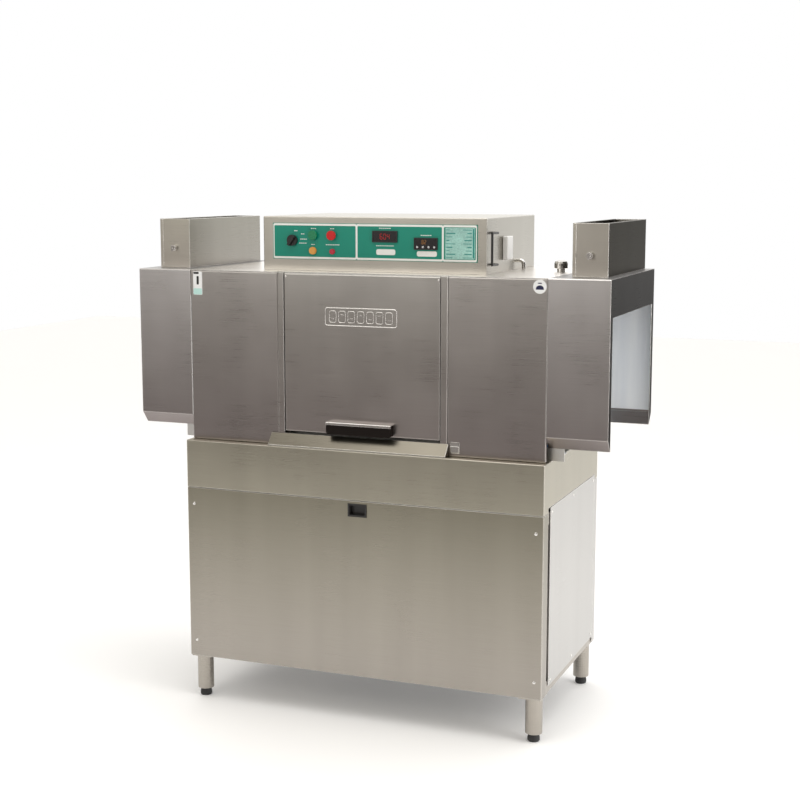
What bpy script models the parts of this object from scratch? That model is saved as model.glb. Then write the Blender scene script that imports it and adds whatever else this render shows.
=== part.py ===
"""Rack-conveyor dishwasher: cabinet on four legs, tank, wash tunnel with a rising door, end shrouds, vent
cowls, control box, and the track, pawl drive, pump and spray pipes inside.

X runs along the tunnel from the entry (-X) to the exit (+X), the front is -Y, and Z is up from the floor.
"""

import math

import bmesh
import bpy
from mathutils import Matrix, Vector

# Driving dimensions, in metres: the length, the rack that the depth follows, and the heights.
CABINET_LENGTH = 1.250
LEG_HEIGHT = 0.150
PANEL_HEIGHT = 0.590
BAND_HEIGHT = 0.160
HOOD_HEIGHT = 0.570
COWL_HEIGHT = 0.165
BOX_HEIGHT = 0.177
TUNNEL_REACH = 0.195
RACK_SIZE = 0.500
RACK_TO_FRONT = 0.085

# Stock and clearances.
SHEET = 0.002
THIN_SHEET = 0.0015
BEND = 0.003
REST = 0.0005
SEAM = 0.002
RUNNING = 0.0005
RAISED = 0.001
OVERCUT = 0.010

# Where the panels stand back from the outside of the cabinet.
HOOD_FRONT_SETBACK = 0.035
HOOD_REAR_SETBACK = 0.018
CHAMBER_SETBACK = 0.008

# Cabinet.
POST = 0.040
POST_INSET = 0.0035
RAIL_HEIGHT = 0.040
RAIL_WIDTH = 0.030
SHELF_THICKNESS = 0.010
PANEL_WRAP = 0.050
FLANGE_FROM_TANK = 0.0045
REAR_WRAP = 0.035
SIDE_REVEAL = 0.027
SIDE_PANEL_RAISE = 0.022
SIDE_PANEL_LAP = 0.013
SERVICE_HALF = 0.100
SERVICE_LOW = 0.100
SERVICE_HEIGHT = 0.080
LEG_RADIUS = 0.0275
LEG_INSET_X = 0.035
LEG_INSET_Y = 0.040
LEG_PLATE = 0.042
FOOT_HEIGHT = 0.0275
FOOT_RADIUS = 0.020
STEM_RADIUS = 0.010
STEM_LENGTH = 0.042
PULL_WIDTH = 0.066
PULL_HEIGHT = 0.043
PULL_DOWN = 0.0325
PULL_DEPTH = 0.018
PULL_PROUD = 0.002
PULL_MARGIN = 0.003

# Tank, with the drive under the deck beyond its exit end.
TANK_END_GAP = 0.0505
DRIVE_BAY = 0.2865
TANK_DEPTH = 0.300
TANK_RIM = 0.014
SUCTION_ALONG = 0.4745
SUCTION_BORE = 0.024
DRAIN_ALONG = 0.1245
DRAIN_Y = 0.10
DRAIN_BORE = 0.015
RISER_ALONG = 0.5145
RISER_FROM_WALL = 0.001
RISER_FROM_TRACK = 0.002
STANDPIPE_DOWN = 0.050

# Door and its frame.
DOOR_HALF = 0.270
DOOR_RUNNER_REACH = 0.020
DOOR_RAISE = 0.048
DOOR_TOP_GAP = 0.004
DOOR_DEPTH = 0.007
GUIDE_REACH = 0.025
GUIDE_LIP = 0.022
GUIDE_REAR_LIP = 0.033
GUIDE_DEPTH = 0.019
GUIDE_PROUD = 0.0015
HEADER_HEIGHT = 0.045
BAR_DEPTH = 0.020
HANDLE_HALF = 0.113
HANDLE_RAISE = 0.002
HANDLE_HEIGHT = 0.040
HANDLE_DEPTH = 0.024
HANDLE_CORNER = 0.006
HANDLE_WALL = 0.003
LIP_DROP = 0.009
SILL_PAST_ENTRY = 0.050
SILL_PAST_EXIT = 0.030
SILL_HEIGHT = 0.041
SILL_REACH = 0.032

# Shrouds and cowls.
SHROUD_RAISE = 0.081
LIP_IN = 0.030
LIP_DOWN = 0.038
PORTAL_HEADER = 0.117
COWL_FROM_CHAMBER = 0.051
COWL_WIDTH = 0.112
COWL_FRONT_SETBACK = 0.090
COWL_REAR_SETBACK = 0.0015
COWL_FLANGE = 0.010
DAMPER_RAISE = 0.066
SPINDLE_RADIUS = 0.004
DAMPER_KNOB_RADIUS = 0.0105
DAMPER_KNOB_DEPTH = 0.012

# Control box. Places on the fascia are measured from its lower left corner.
BOX_LENGTH = 0.780
BOX_OFFSET = 0.002
BOX_FRONT_SETBACK = 0.0905
BOX_REAR_SETBACK = 0.0025
FASCIA_FROM_LEFT = 0.037
FASCIA_FROM_RIGHT = 0.031
FASCIA_FROM_FOOT = 0.0375
FASCIA_FROM_TOP = 0.0215
SELECTOR_PLACE = (0.072, 0.0615)
SELECTOR_RADIUS = 0.018
SELECTOR_SHAFT = 0.007
BUTTON_PLACES = {"start_button": (0.147, 0.079), "stop_button": (0.2135, 0.079)}
BUTTON_RADIUS = 0.0155
BUTTON_STEM = 0.0108
BUTTON_TRAVEL = 0.004
LAMP_PLACES = {"power_lamp": (0.145, 0.0285), "fault_lamp": (0.215, 0.0265)}
LAMP_RADII = {"power_lamp": 0.0125, "fault_lamp": 0.009}
LAMP_STEM = 0.005
INSTRUMENTS = {
    "temperature_display": ((0.356, 0.059), (0.087, 0.037)),
    "rinse_controller": ((0.500, 0.0375), (0.080, 0.038)),
}
BEZEL = 0.0045
SIDE_HANDLE_REACH = 0.013
SIDE_HANDLE_BACK = 0.0115
SIDE_HANDLE_WIDTH = 0.058
SIDE_HANDLE_RAISE = 0.029
SIDE_HANDLE_HEIGHT = 0.100
SIDE_COVER_BACK = 0.1595
SIDE_COVER_RAISE = 0.039
SIDE_COVER_SIZE = (0.017, 0.062, 0.076)
BREAKER_FROM_END = 0.049
BREAKER_Y = 0.025
INSTRUMENT_DEPTH = 0.045

# Track and drive.
RACK_CLEARANCE = 0.0035
TRACK_PAST_CABINET = 0.040
TRACK_THICKNESS = 0.003
TRACK_HEIGHT = 0.045
TRACK_LEDGE = 0.025
RACK_PLANE_HEIGHT = 0.025
TIE_HEIGHT = 0.0095
TIE_WIDTH = 0.025
TIE_FROM_ENTRY = 0.105
TIE_FROM_EXIT = 0.045
TIE_FROM_PAWL = 0.170
BAR_HALF = 0.010
BAR_LENGTH = 0.995
BAR_HEIGHT = 0.010
STROKE = 0.050
PAWL_PITCH = 0.310
PAWL_FROM_CRANK = 0.255
PAWL_AXLE = 0.003
CRANK_FROM_TANK = 0.1165
CRANK_THICKNESS = 0.006
CRANK_PIN = 0.0055
PIN_PLAY = 0.002
SHAFT_RADIUS = 0.010
GEARBOX_HALF = (0.060, 0.055)
GEARBOX_HEIGHT = 0.0975
MOTOR_CAN_RADIUS = 0.052
MOTOR_CAN_LENGTH = 0.160
FAN_RADIUS = 0.046
FAN_SHAFT = 0.005

# Pump and pipes.
PUMP_AXIS_RAISE = 0.140
PUMP_FOOT = (-0.260, -0.160)
MOTOR_SPAN = (-0.320, -0.120)
VOLUTE_SPAN = (-0.122, -0.025)
MOTOR_RADIUS = 0.065
VOLUTE_RADIUS = 0.085
VOLUTE_WALL = 0.012
PIPE_WALL = 0.006
PUMP_SHAFT = 0.006
WASH_PIPE = 0.0125
RINSE_PIPE = 0.007
LOWER_ARM_GAP = 0.0255
UPPER_ARM_DOWN = 0.070
ARM_PITCH = 0.240
HEADER_PAST_ARM = 0.020
RINSE_FROM_ARM = 0.075
ARM_FROM_FRONT = 0.0515
HEADER_FROM_RISER = 0.026
RINSE_FROM_TANK_END = 0.0235
RINSE_FROM_WALL = 0.0035
RINSE_LOW_DOWN = 0.020
RINSE_ABOVE_WASH = 0.010

# Tank fittings.
TRAY_TOP_DOWN = 0.110
TRAY_DEPTH = 0.045
TRAY_FROM_SUCTION = 0.080
HEATER_RAISE = 0.040
HEATER_FROM_END = (0.1385, 0.0785)
VALVE_LENGTH = 0.170
VALVE_BALL_DOWN = 0.070

# Curtains.
CURTAIN_FROM_END = 0.017
CURTAIN_ABOVE_PORTAL = 0.0115
CURTAIN_RAISE = 0.050
CURTAIN_SIDE_GAP = 0.0015
CURTAIN_THICKNESS = 0.003
CURTAIN_SWING = CURTAIN_THICKNESS / 2 + REST

# Places that follow from the sizes above.
CABINET_DEPTH = RACK_SIZE + 2 * RACK_TO_FRONT
CABINET_HALF = CABINET_LENGTH / 2
FRONT = -CABINET_DEPTH / 2
BACK = CABINET_DEPTH / 2
CABINET_TOP = LEG_HEIGHT + PANEL_HEIGHT
DECK = CABINET_TOP + BAND_HEIGHT
ROOF = DECK + HOOD_HEIGHT
COWL_TOP = ROOF + COWL_HEIGHT
BOX_TOP = ROOF + BOX_HEIGHT
HOOD_FRONT = FRONT + HOOD_FRONT_SETBACK
HOOD_BACK = BACK - HOOD_REAR_SETBACK
CHAMBER_HALF = CABINET_HALF - CHAMBER_SETBACK
TUNNEL_HALF = CHAMBER_HALF + TUNNEL_REACH
TUNNEL_CLEAR_TOP = ROOF - PORTAL_HEADER
WALL_TOP = ROOF - SHEET - REST
LEG_X = CABINET_HALF - LEG_INSET_X
LEG_Y = CABINET_DEPTH / 2 - LEG_INSET_Y
PULL_Z = CABINET_TOP - PULL_DOWN
SIDE_PANEL_TOP = CABINET_TOP + SIDE_PANEL_LAP
GUIDE_HALF = DOOR_HALF + GUIDE_REACH
DOOR_FACE = HOOD_FRONT - GUIDE_PROUD
DOOR_BOTTOM = DECK + DOOR_RAISE
GUIDE_BACK = DOOR_FACE + GUIDE_DEPTH
SHROUD_BOTTOM = DECK + SHROUD_RAISE
COWL_NEAR = CHAMBER_HALF + COWL_FROM_CHAMBER
COWL_FAR = COWL_NEAR + COWL_WIDTH
COWL_X = (COWL_NEAR + COWL_FAR) / 2
COWL_FRONT = HOOD_FRONT + COWL_FRONT_SETBACK
COWL_BACK = HOOD_BACK - COWL_REAR_SETBACK
DAMPER_Z = ROOF + DAMPER_RAISE
BOX_LEFT = BOX_OFFSET - BOX_LENGTH / 2
BOX_RIGHT = BOX_OFFSET + BOX_LENGTH / 2
BOX_FRONT = HOOD_FRONT + BOX_FRONT_SETBACK
BOX_BACK = HOOD_BACK - BOX_REAR_SETBACK
FASCIA_LEFT = BOX_LEFT + FASCIA_FROM_LEFT
FASCIA_RIGHT = BOX_RIGHT - FASCIA_FROM_RIGHT
FASCIA_BOTTOM = ROOF + FASCIA_FROM_FOOT
FASCIA_TOP = BOX_TOP - FASCIA_FROM_TOP
FASCIA_FACE = BOX_FRONT - REST - SHEET
TANK_LEFT = -CABINET_HALF + TANK_END_GAP
TANK_RIGHT = CABINET_HALF - DRIVE_BAY
TANK_FLOOR = DECK - TANK_DEPTH
SUCTION = (TANK_LEFT + SUCTION_ALONG, 0.0)
DRAIN = (TANK_LEFT + DRAIN_ALONG, DRAIN_Y)
TRACK_GAUGE = RACK_SIZE / 2 + RACK_CLEARANCE
RISER = (TANK_LEFT + RISER_ALONG, TRACK_GAUGE + TRACK_THICKNESS + RISER_FROM_TRACK + WASH_PIPE)
TANK_INSIDE = RISER[1] + WASH_PIPE + RISER_FROM_WALL
TANK_HALF_DEPTH = TANK_INSIDE + SHEET
CRANK = (TANK_RIGHT + CRANK_FROM_TANK, 0.0)
PAWLS = [CRANK[0] - PAWL_FROM_CRANK - PAWL_PITCH * step for step in (2, 1, 0)]
TIES = [-CABINET_HALF + TIE_FROM_ENTRY, *[x + TIE_FROM_PAWL for x in PAWLS[:2]], CABINET_HALF - TIE_FROM_EXIT]
TRACK_TOP = DECK + TRACK_HEIGHT
RACK_PLANE = DECK + RACK_PLANE_HEIGHT
TIE_TOP = DECK + TIE_HEIGHT
BAR_BOTTOM = TIE_TOP + RAISED
PIVOT_Z = BAR_BOTTOM + BAR_HEIGHT / 2
UNDER_DECK = DECK - SHEET - REST
PUMP_AXIS_Z = LEG_HEIGHT + RAIL_HEIGHT + PUMP_AXIS_RAISE
LOWER_ARM_Z = DECK - LOWER_ARM_GAP - WASH_PIPE
UPPER_ARM_Z = ROOF - UPPER_ARM_DOWN
ARM_END = -TANK_HALF_DEPTH + ARM_FROM_FRONT
CURTAIN_X = CHAMBER_HALF - CURTAIN_FROM_END
CURTAIN_TOP = TUNNEL_CLEAR_TOP + CURTAIN_ABOVE_PORTAL
CURTAIN_BOTTOM = DECK + CURTAIN_RAISE
CURTAIN_HALF = TRACK_GAUGE - CURTAIN_SIDE_GAP
ROUND = 16
FINE = 24

# The plane in which each outline is drawn, and the axis along which it is extruded.
PLANES = {
    "X": Matrix(((0, 0, 1, 0), (1, 0, 0, 0), (0, 1, 0, 0), (0, 0, 0, 1))),
    "Y": Matrix(((1, 0, 0, 0), (0, 0, -1, 0), (0, 1, 0, 0), (0, 0, 0, 1))),
    "Z": Matrix.Identity(4),
}
ALONG = {"X": 0, "Y": 1, "Z": 2}

MATERIALS = {
    "brushed steel": ((0.50, 0.48, 0.44), 0.38, 1.0),
    "polished steel": ((0.62, 0.61, 0.59), 0.20, 1.0),
    "galvanised steel": ((0.42, 0.43, 0.44), 0.50, 1.0),
    "black plastic": ((0.015, 0.015, 0.016), 0.45, 0.0),
    "green fascia": ((0.0, 0.26, 0.17), 0.35, 0.0),
    "green plastic": ((0.02, 0.40, 0.17), 0.30, 0.0),
    "red plastic": ((0.55, 0.02, 0.02), 0.30, 0.0),
    "amber lens": ((0.75, 0.32, 0.03), 0.20, 0.0),
    "white plastic": ((0.80, 0.80, 0.79), 0.40, 0.0),
    "cast iron": ((0.10, 0.12, 0.14), 0.60, 0.0),
    "curtain": ((0.62, 0.72, 0.74), 0.40, 0.0),
}


def clear_scene():
    for old in list(bpy.data.objects):
        bpy.data.objects.remove(old, do_unlink=True)


def collection(name, rendered=True):
    made = bpy.data.collections.new(name)
    made.hide_render = not rendered
    bpy.context.scene.collection.children.link(made)
    return made


def material(name):
    made = bpy.data.materials.get(name)
    if made is None:
        colour, roughness, metallic = MATERIALS[name]
        made = bpy.data.materials.new(name)
        made.use_nodes = True
        shader = made.node_tree.nodes["Principled BSDF"]
        shader.inputs["Base Color"].default_value = (*colour, 1.0)
        shader.inputs["Roughness"].default_value = roughness
        shader.inputs["Metallic"].default_value = metallic
    return made


clear_scene()
PARTS = collection("Rack conveyor dishwasher")
TOOLS = collection("Cutters and joined solids", rendered=False)


def solid(bm, location=(0, 0, 0)):
    """A mesh object in the tools collection, until part() names it as a piece of the machine."""
    mesh = bpy.data.meshes.new("solid")
    bm.to_mesh(mesh)
    bm.free()
    made = bpy.data.objects.new("solid", mesh)
    made.location = location
    made.hide_render = True
    made.display_type = "WIRE"
    TOOLS.objects.link(made)
    return made


def part(name, made, stuff):
    """Takes a solid out of the tools and makes it a named piece with its material."""
    TOOLS.objects.unlink(made)
    PARTS.objects.link(made)
    made.hide_render = False
    made.display_type = "TEXTURED"
    made.name = name
    made.data.name = name
    made.data.materials.clear()
    made.data.materials.append(material(stuff))
    return made


def box(x, y, z):
    """A box from the two ends of its span on each axis."""
    low = Vector((min(x), min(y), min(z)))
    high = Vector((max(x), max(y), max(z)))
    bm = bmesh.new()
    bmesh.ops.create_cube(bm, size=1, matrix=Matrix.Diagonal((*(high - low), 1)))
    return solid(bm, (low + high) / 2)


def rod(axis, centre, span, radius, end_radius=None, sides=ROUND):
    """A cylinder or a cone along an axis. The centre is the other two coordinates, in axis order."""
    length = abs(span[1] - span[0])
    bm = bmesh.new()
    bmesh.ops.create_cone(
        bm,
        cap_ends=True,
        segments=sides,
        radius1=radius,
        radius2=radius if end_radius is None else end_radius,
        depth=length,
    )
    bm.transform(PLANES[axis])
    where = list(centre)
    where.insert(ALONG[axis], (span[0] + span[1]) / 2)
    made = solid(bm, where)
    smooth(made)
    return made


def smooth(made, degrees=35):
    made.data.shade_smooth()
    made.data.set_sharp_from_angle(angle=math.radians(degrees))


def as_mesh(curve_object, stray=1e-6):
    """The solid that a curve draws, with its caps welded on, in place of the curve."""
    bpy.context.view_layer.update()
    graph = bpy.context.evaluated_depsgraph_get()
    mesh = bpy.data.meshes.new_from_object(curve_object.evaluated_get(graph))
    bm = bmesh.new()
    bm.from_mesh(mesh)
    bmesh.ops.remove_doubles(bm, verts=bm.verts, dist=stray)
    bmesh.ops.recalc_face_normals(bm, faces=bm.faces)
    bpy.data.meshes.remove(mesh)
    bpy.data.objects.remove(curve_object, do_unlink=True)
    return bm


def slab(axis, span, *outlines):
    """A flat outline, with any holes after it, extruded along an axis between the two ends of the span."""
    curve = bpy.data.curves.new("outline", "CURVE")
    curve.dimensions = "2D"
    curve.fill_mode = "BOTH"
    curve.extrude = abs(span[1] - span[0]) / 2
    for points in outlines:
        spline = curve.splines.new("POLY")
        spline.points.add(len(points) - 1)
        for point, (u, v) in zip(spline.points, points):
            point.co = (u, v, 0, 1)
        spline.use_cyclic_u = True
    drawn = bpy.data.objects.new("outline", curve)
    TOOLS.objects.link(drawn)
    bm = as_mesh(drawn)
    bm.transform(PLANES[axis])
    where = [0.0, 0.0, 0.0]
    where[ALONG[axis]] = (span[0] + span[1]) / 2
    return solid(bm, where)


def pipe(points, radius, sides=10):
    """A round bar or pipe along straight runs."""
    curve = bpy.data.curves.new("run", "CURVE")
    curve.dimensions = "3D"
    curve.bevel_mode = "ROUND"
    curve.bevel_depth = radius
    curve.bevel_resolution = sides // 2 - 2
    curve.use_fill_caps = True
    spline = curve.splines.new("POLY")
    spline.points.add(len(points) - 1)
    for point, place in zip(spline.points, points):
        point.co = (*place, 1)
    drawn = bpy.data.objects.new("run", curve)
    TOOLS.objects.link(drawn)
    made = solid(as_mesh(drawn))
    smooth(made, 50)
    return made


def turned(profile, centre, sides=ROUND):
    """A shape turned about a vertical axis, from (radius, height) points down its outside."""
    bm = bmesh.new()
    points = [bm.verts.new((radius, 0, height)) for radius, height in profile]
    for above, below in zip(points, points[1:]):
        bm.edges.new((above, below))
    made = solid(bm, (*centre, 0))
    screw = made.modifiers.new("Turn", "SCREW")
    screw.steps = screw.render_steps = sides
    screw.use_merge_vertices = True
    screw.merge_threshold = 0.0001
    screw.use_smooth_shade = False
    return made


def on_fascia(place):
    """A point of the fascia, from its distances right of and above the lower left corner."""
    return (FASCIA_LEFT + place[0], FASCIA_BOTTOM + place[1])


def pan(x, y, z, open_side, thickness=SHEET):
    """A folded sheet box with one side left open, such as "+Y", its walls inside the given spans."""
    made = box(x, y, z)
    bm = bmesh.new()
    bm.from_mesh(made.data)
    toward = Vector((0, 0, 0))
    toward["XYZ".index(open_side[1])] = 1 if open_side[0] == "+" else -1
    gone = [face for face in bm.faces if face.normal.dot(toward) > 0.9]
    bmesh.ops.delete(bm, geom=gone, context="FACES")
    bm.to_mesh(made.data)
    bm.free()
    bend = made.modifiers.new("Bends", "BEVEL")
    bend.width = BEND
    bend.segments = 3
    wall = made.modifiers.new("Sheet", "SOLIDIFY")
    wall.thickness = thickness
    wall.offset = -1
    wall.use_even_offset = True
    return made


def bent(points, radius=BEND, steps=3):
    """An open run of points with each corner turned into an arc of that outside radius."""
    run = [Vector(point) for point in points]
    made = [run[0]]
    for before, corner, after in zip(run, run[1:], run[2:]):
        back = (before - corner).normalized()
        on = (after - corner).normalized()
        half = back.angle(on) / 2
        centre = corner + (back + on).normalized() * radius / math.sin(half)
        start = corner + back * radius / math.tan(half) - centre
        end = corner + on * radius / math.tan(half) - centre
        for step in range(steps + 1):
            spoke = start.lerp(end, step / steps).normalized() * radius
            made.append(centre + spoke)
    return made + [run[-1]]


def folded(points, thickness=SHEET, radius=BEND):
    """The closed outline of a sheet bent along an open run of points, with its thickness to the left."""
    run = bent(points, radius)
    sides = [(after - before).normalized() for before, after in zip(run, run[1:])]
    inner = []
    for index, point in enumerate(run):
        before = sides[max(index - 1, 0)]
        after = sides[min(index, len(sides) - 1)]
        mitre = Vector((-before.y - after.y, before.x + after.x)).normalized()
        inner.append(point + mitre * thickness / mitre.dot(Vector((-after.y, after.x))))
    return [tuple(point) for point in run + inner[::-1]]


def rectangle(u, v):
    return [(u[0], v[0]), (u[1], v[0]), (u[1], v[1]), (u[0], v[1])]


def circle(centre, radius, sides=ROUND):
    angles = [2 * math.pi * step / sides for step in range(sides)]
    return [(centre[0] + radius * math.cos(angle), centre[1] + radius * math.sin(angle)) for angle in angles]


def combine(made, operation, tools):
    for tool in tools:
        modifier = made.modifiers.new(operation.title(), "BOOLEAN")
        modifier.operation = operation
        modifier.solver = "EXACT"
        modifier.object = tool
        tool.parent = made
        tool.matrix_parent_inverse = Matrix.Translation(made.location).inverted()
    return made


def joined(made, *others):
    return combine(made, "UNION", others)


def cut(made, *tools):
    return combine(made, "DIFFERENCE", tools)


def mirrored(side, near, far):
    """A span measured from the middle, on the +X side or on the -X side."""
    return (side * near, side * far)


def carried(name, place, *pieces, by=None):
    """An empty on a joint's axis that carries the pieces, and is itself carried by another joint's empty."""
    axis = bpy.data.objects.new(name, None)
    axis.empty_display_size = 0.05
    axis.location = place
    PARTS.objects.link(axis)
    for piece in pieces:
        piece.parent = axis
        piece.matrix_parent_inverse = Matrix.Translation(axis.location).inverted()
    if by:
        axis.parent = by
        axis.matrix_parent_inverse = Matrix.Translation(by.location).inverted()
    return axis


def make_cabinet_frame():
    outer_x = CABINET_HALF - POST_INSET
    outer_y = CABINET_DEPTH / 2 - POST_INSET
    top = CABINET_TOP - REST
    low = (LEG_HEIGHT, LEG_HEIGHT + RAIL_HEIGHT)
    high = (top - RAIL_HEIGHT, top)
    shelf = (low[1] - SHELF_THICKNESS, low[1])
    shelf_x = [SUCTION[0] + place for place in PUMP_FOOT]
    pieces = []
    for side in (-1, 1):
        inner_x = side * (outer_x - RAIL_WIDTH)
        inner_y = side * (outer_y - RAIL_WIDTH)
        set_back_y = side * (outer_y - POST / 2)
        pieces.append(box((inner_x, side * outer_x), (-outer_y, outer_y), low))
        pieces.append(box((inner_x, side * outer_x), (-outer_y, outer_y), high))
        pieces.append(box((-outer_x, outer_x), (inner_y, side * outer_y), low))
        pieces.append(box((-outer_x, outer_x), (side * (outer_y - POST), set_back_y), high))
    pieces.append(box(shelf_x, (-outer_y + RAIL_WIDTH / 3, outer_y - RAIL_WIDTH / 3), shelf))
    bores = []
    for x in (-1, 1):
        for y in (-1, 1):
            span_x = (x * (outer_x - POST), x * outer_x)
            span_y = (y * (outer_y - POST), y * outer_y)
            centre = (x * LEG_X, y * LEG_Y)
            plate_x = (x * (LEG_X - LEG_PLATE), x * outer_x)
            plate_y = (y * (LEG_Y - LEG_PLATE), y * outer_y)
            pieces.append(box(span_x, span_y, (LEG_HEIGHT, top)))
            pieces.append(box(plate_x, plate_y, (LEG_HEIGHT - 2 * SHEET, LEG_HEIGHT + SHEET)))
            pieces.append(rod("Z", centre, (FOOT_HEIGHT, LEG_HEIGHT - SHEET / 2), LEG_RADIUS, sides=FINE))
            stem = (FOOT_HEIGHT - OVERCUT, FOOT_HEIGHT + STEM_LENGTH + SEAM)
            bores.append(rod("Z", centre, stem, STEM_RADIUS + RUNNING))
    frame = joined(*pieces)
    cut(frame, *bores)
    return part("cabinet_frame", frame, "brushed steel")


def make_feet():
    """Black levelling feet whose threaded stems turn in the leg ends."""
    stem_top = FOOT_HEIGHT + STEM_LENGTH
    collar = FOOT_HEIGHT - REST
    profile = [
        (0, stem_top),
        (STEM_RADIUS, stem_top),
        (STEM_RADIUS, collar),
        (FOOT_RADIUS * 0.86, collar),
        (FOOT_RADIUS, 0.012),
        (FOOT_RADIUS, 0.004),
        (FOOT_RADIUS * 0.85, 0),
        (0, 0),
    ]
    names = {(-1, -1): "front_left", (1, -1): "front_right", (-1, 1): "rear_left", (1, 1): "rear_right"}
    for (x, y), corner in names.items():
        centre = (x * LEG_X, y * LEG_Y)
        foot = part(f"foot_{corner}", turned(profile, centre), "black plastic")
        carried(f"foot {corner} axis", (*centre, 0), foot)


def wrapped_panel(face, wrap):
    """A panel along the whole cabinet, whose upright edges turn round the corners."""
    inward = 1 if face < 0 else -1
    end = face + inward * wrap
    run = [(-CABINET_HALF, end), (-CABINET_HALF, face), (CABINET_HALF, face), (CABINET_HALF, end)]
    if inward < 0:
        run.reverse()
    return slab("Z", (LEG_HEIGHT + REST, CABINET_TOP - SEAM), folded(run))


def make_front_panel():
    half_x = PULL_WIDTH / 2
    half_z = PULL_HEIGHT / 2
    hole_x = (-half_x + PULL_MARGIN, half_x - PULL_MARGIN)
    hole_z = (PULL_Z - half_z + PULL_MARGIN, PULL_Z + half_z - PULL_MARGIN)
    panel = wrapped_panel(FRONT, PANEL_WRAP)
    cut(panel, box(hole_x, (FRONT - OVERCUT, FRONT + OVERCUT), hole_z))
    part("front_panel", panel, "brushed steel")

    flange_face = FRONT - PULL_PROUD
    cup_x = (hole_x[0] + RAISED, hole_x[1] - RAISED)
    cup_z = (hole_z[0] + RAISED, hole_z[1] - RAISED)
    pull = box((-half_x, half_x), (flange_face, FRONT - REST), (PULL_Z - half_z, PULL_Z + half_z))
    joined(pull, box(cup_x, (flange_face + RAISED / 2, FRONT + PULL_DEPTH), cup_z))
    hollow_x = (cup_x[0] + SHEET, cup_x[1] - SHEET)
    hollow_z = (cup_z[0] + SHEET, cup_z[1] - SHEET)
    cut(pull, box(hollow_x, (flange_face - OVERCUT, FRONT + PULL_DEPTH - SHEET), hollow_z))
    part("panel_pull", pull, "black plastic")
    carried("front panel slide", (0, FRONT, PULL_Z), panel, pull)


def make_other_panels():
    front_edge = FRONT + PANEL_WRAP + SIDE_REVEAL
    back_edge = BACK - REAR_WRAP - SEAM
    outer = CABINET_HALF
    bottom = LEG_HEIGHT + SIDE_PANEL_RAISE
    flange_z = (LEG_HEIGHT + RAIL_HEIGHT + SEAM, CABINET_TOP - RAIL_HEIGHT - SEAM)
    for side, name in ((-1, "side_panel_left"), (1, "side_panel_right")):
        face = mirrored(side, outer - SHEET, outer)
        flange = mirrored(side, outer - TANK_RIM, outer - SHEET / 2)
        panel = box(face, (front_edge, back_edge), (bottom, SIDE_PANEL_TOP))
        joined(panel, box(flange, (front_edge, front_edge + SHEET), flange_z))
        part(name, panel, "brushed steel")
    rear = wrapped_panel(BACK, REAR_WRAP)
    service_z = (LEG_HEIGHT + SERVICE_LOW, LEG_HEIGHT + SERVICE_LOW + SERVICE_HEIGHT)
    joined(rear, box((-SERVICE_HALF, SERVICE_HALF), (BACK - SHEET / 2, BACK + PULL_PROUD), service_z))
    part("rear_panel", rear, "brushed steel")


def make_tank_band():
    """The flush band round the tank, with the deck that the hood stands on."""
    band = pan((-CABINET_HALF, CABINET_HALF), (FRONT, BACK), (CABINET_TOP, DECK), "-Z")
    flange_x = CABINET_HALF - REAR_WRAP
    flange_z = (CABINET_TOP + REST, CABINET_TOP + REST + SHEET)
    for side in (-1, 1):
        edge = side * CABINET_DEPTH / 2
        flange_y = (edge - side * SHEET / 2, side * (TANK_HALF_DEPTH + FLANGE_FROM_TANK))
        joined(band, box((-flange_x, flange_x), flange_y, flange_z))
    deck = (DECK - OVERCUT, DECK + OVERCUT)
    tank_x = (TANK_LEFT - THIN_SHEET, TANK_RIGHT + THIN_SHEET)
    tank_y = TANK_HALF_DEPTH + THIN_SHEET
    cut(band, box(tank_x, (-tank_y, tank_y), deck), rod("Z", CRANK, deck, SHAFT_RADIUS + THIN_SHEET))
    side_y = (FRONT + PANEL_WRAP, BACK - REAR_WRAP)
    notch_z = (CABINET_TOP - OVERCUT, SIDE_PANEL_TOP + SEAM)
    cut(band, box((-CABINET_LENGTH, CABINET_LENGTH), side_y, notch_z))
    return part("tank_band", band, "brushed steel")


def make_wash_tank():
    rim_top = DECK - SHEET - REST
    x = (TANK_LEFT, TANK_RIGHT)
    y = (-TANK_HALF_DEPTH, TANK_HALF_DEPTH)
    tank = pan(x, y, (TANK_FLOOR, rim_top), "+Z")
    side_rim = TANK_RIM - 2 * SHEET
    rim = rectangle((x[0] - TANK_RIM, x[1] + TANK_RIM), (y[0] - side_rim, y[1] + side_rim))
    half = SHEET / 2
    inner = rectangle((x[0] + half, x[1] - half), (y[0] + half, y[1] - half))
    joined(tank, slab("Z", (rim_top - SHEET, rim_top), rim, inner[::-1]))
    through = (TANK_FLOOR - OVERCUT, TANK_FLOOR + OVERCUT)
    holes = ((SUCTION, SUCTION_BORE), (DRAIN, DRAIN_BORE), (RISER, WASH_PIPE - PIPE_WALL / 2))
    cut(tank, *[rod("Z", place, through, radius) for place, radius in holes])
    return part("wash_tank", tank, "brushed steel")


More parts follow.
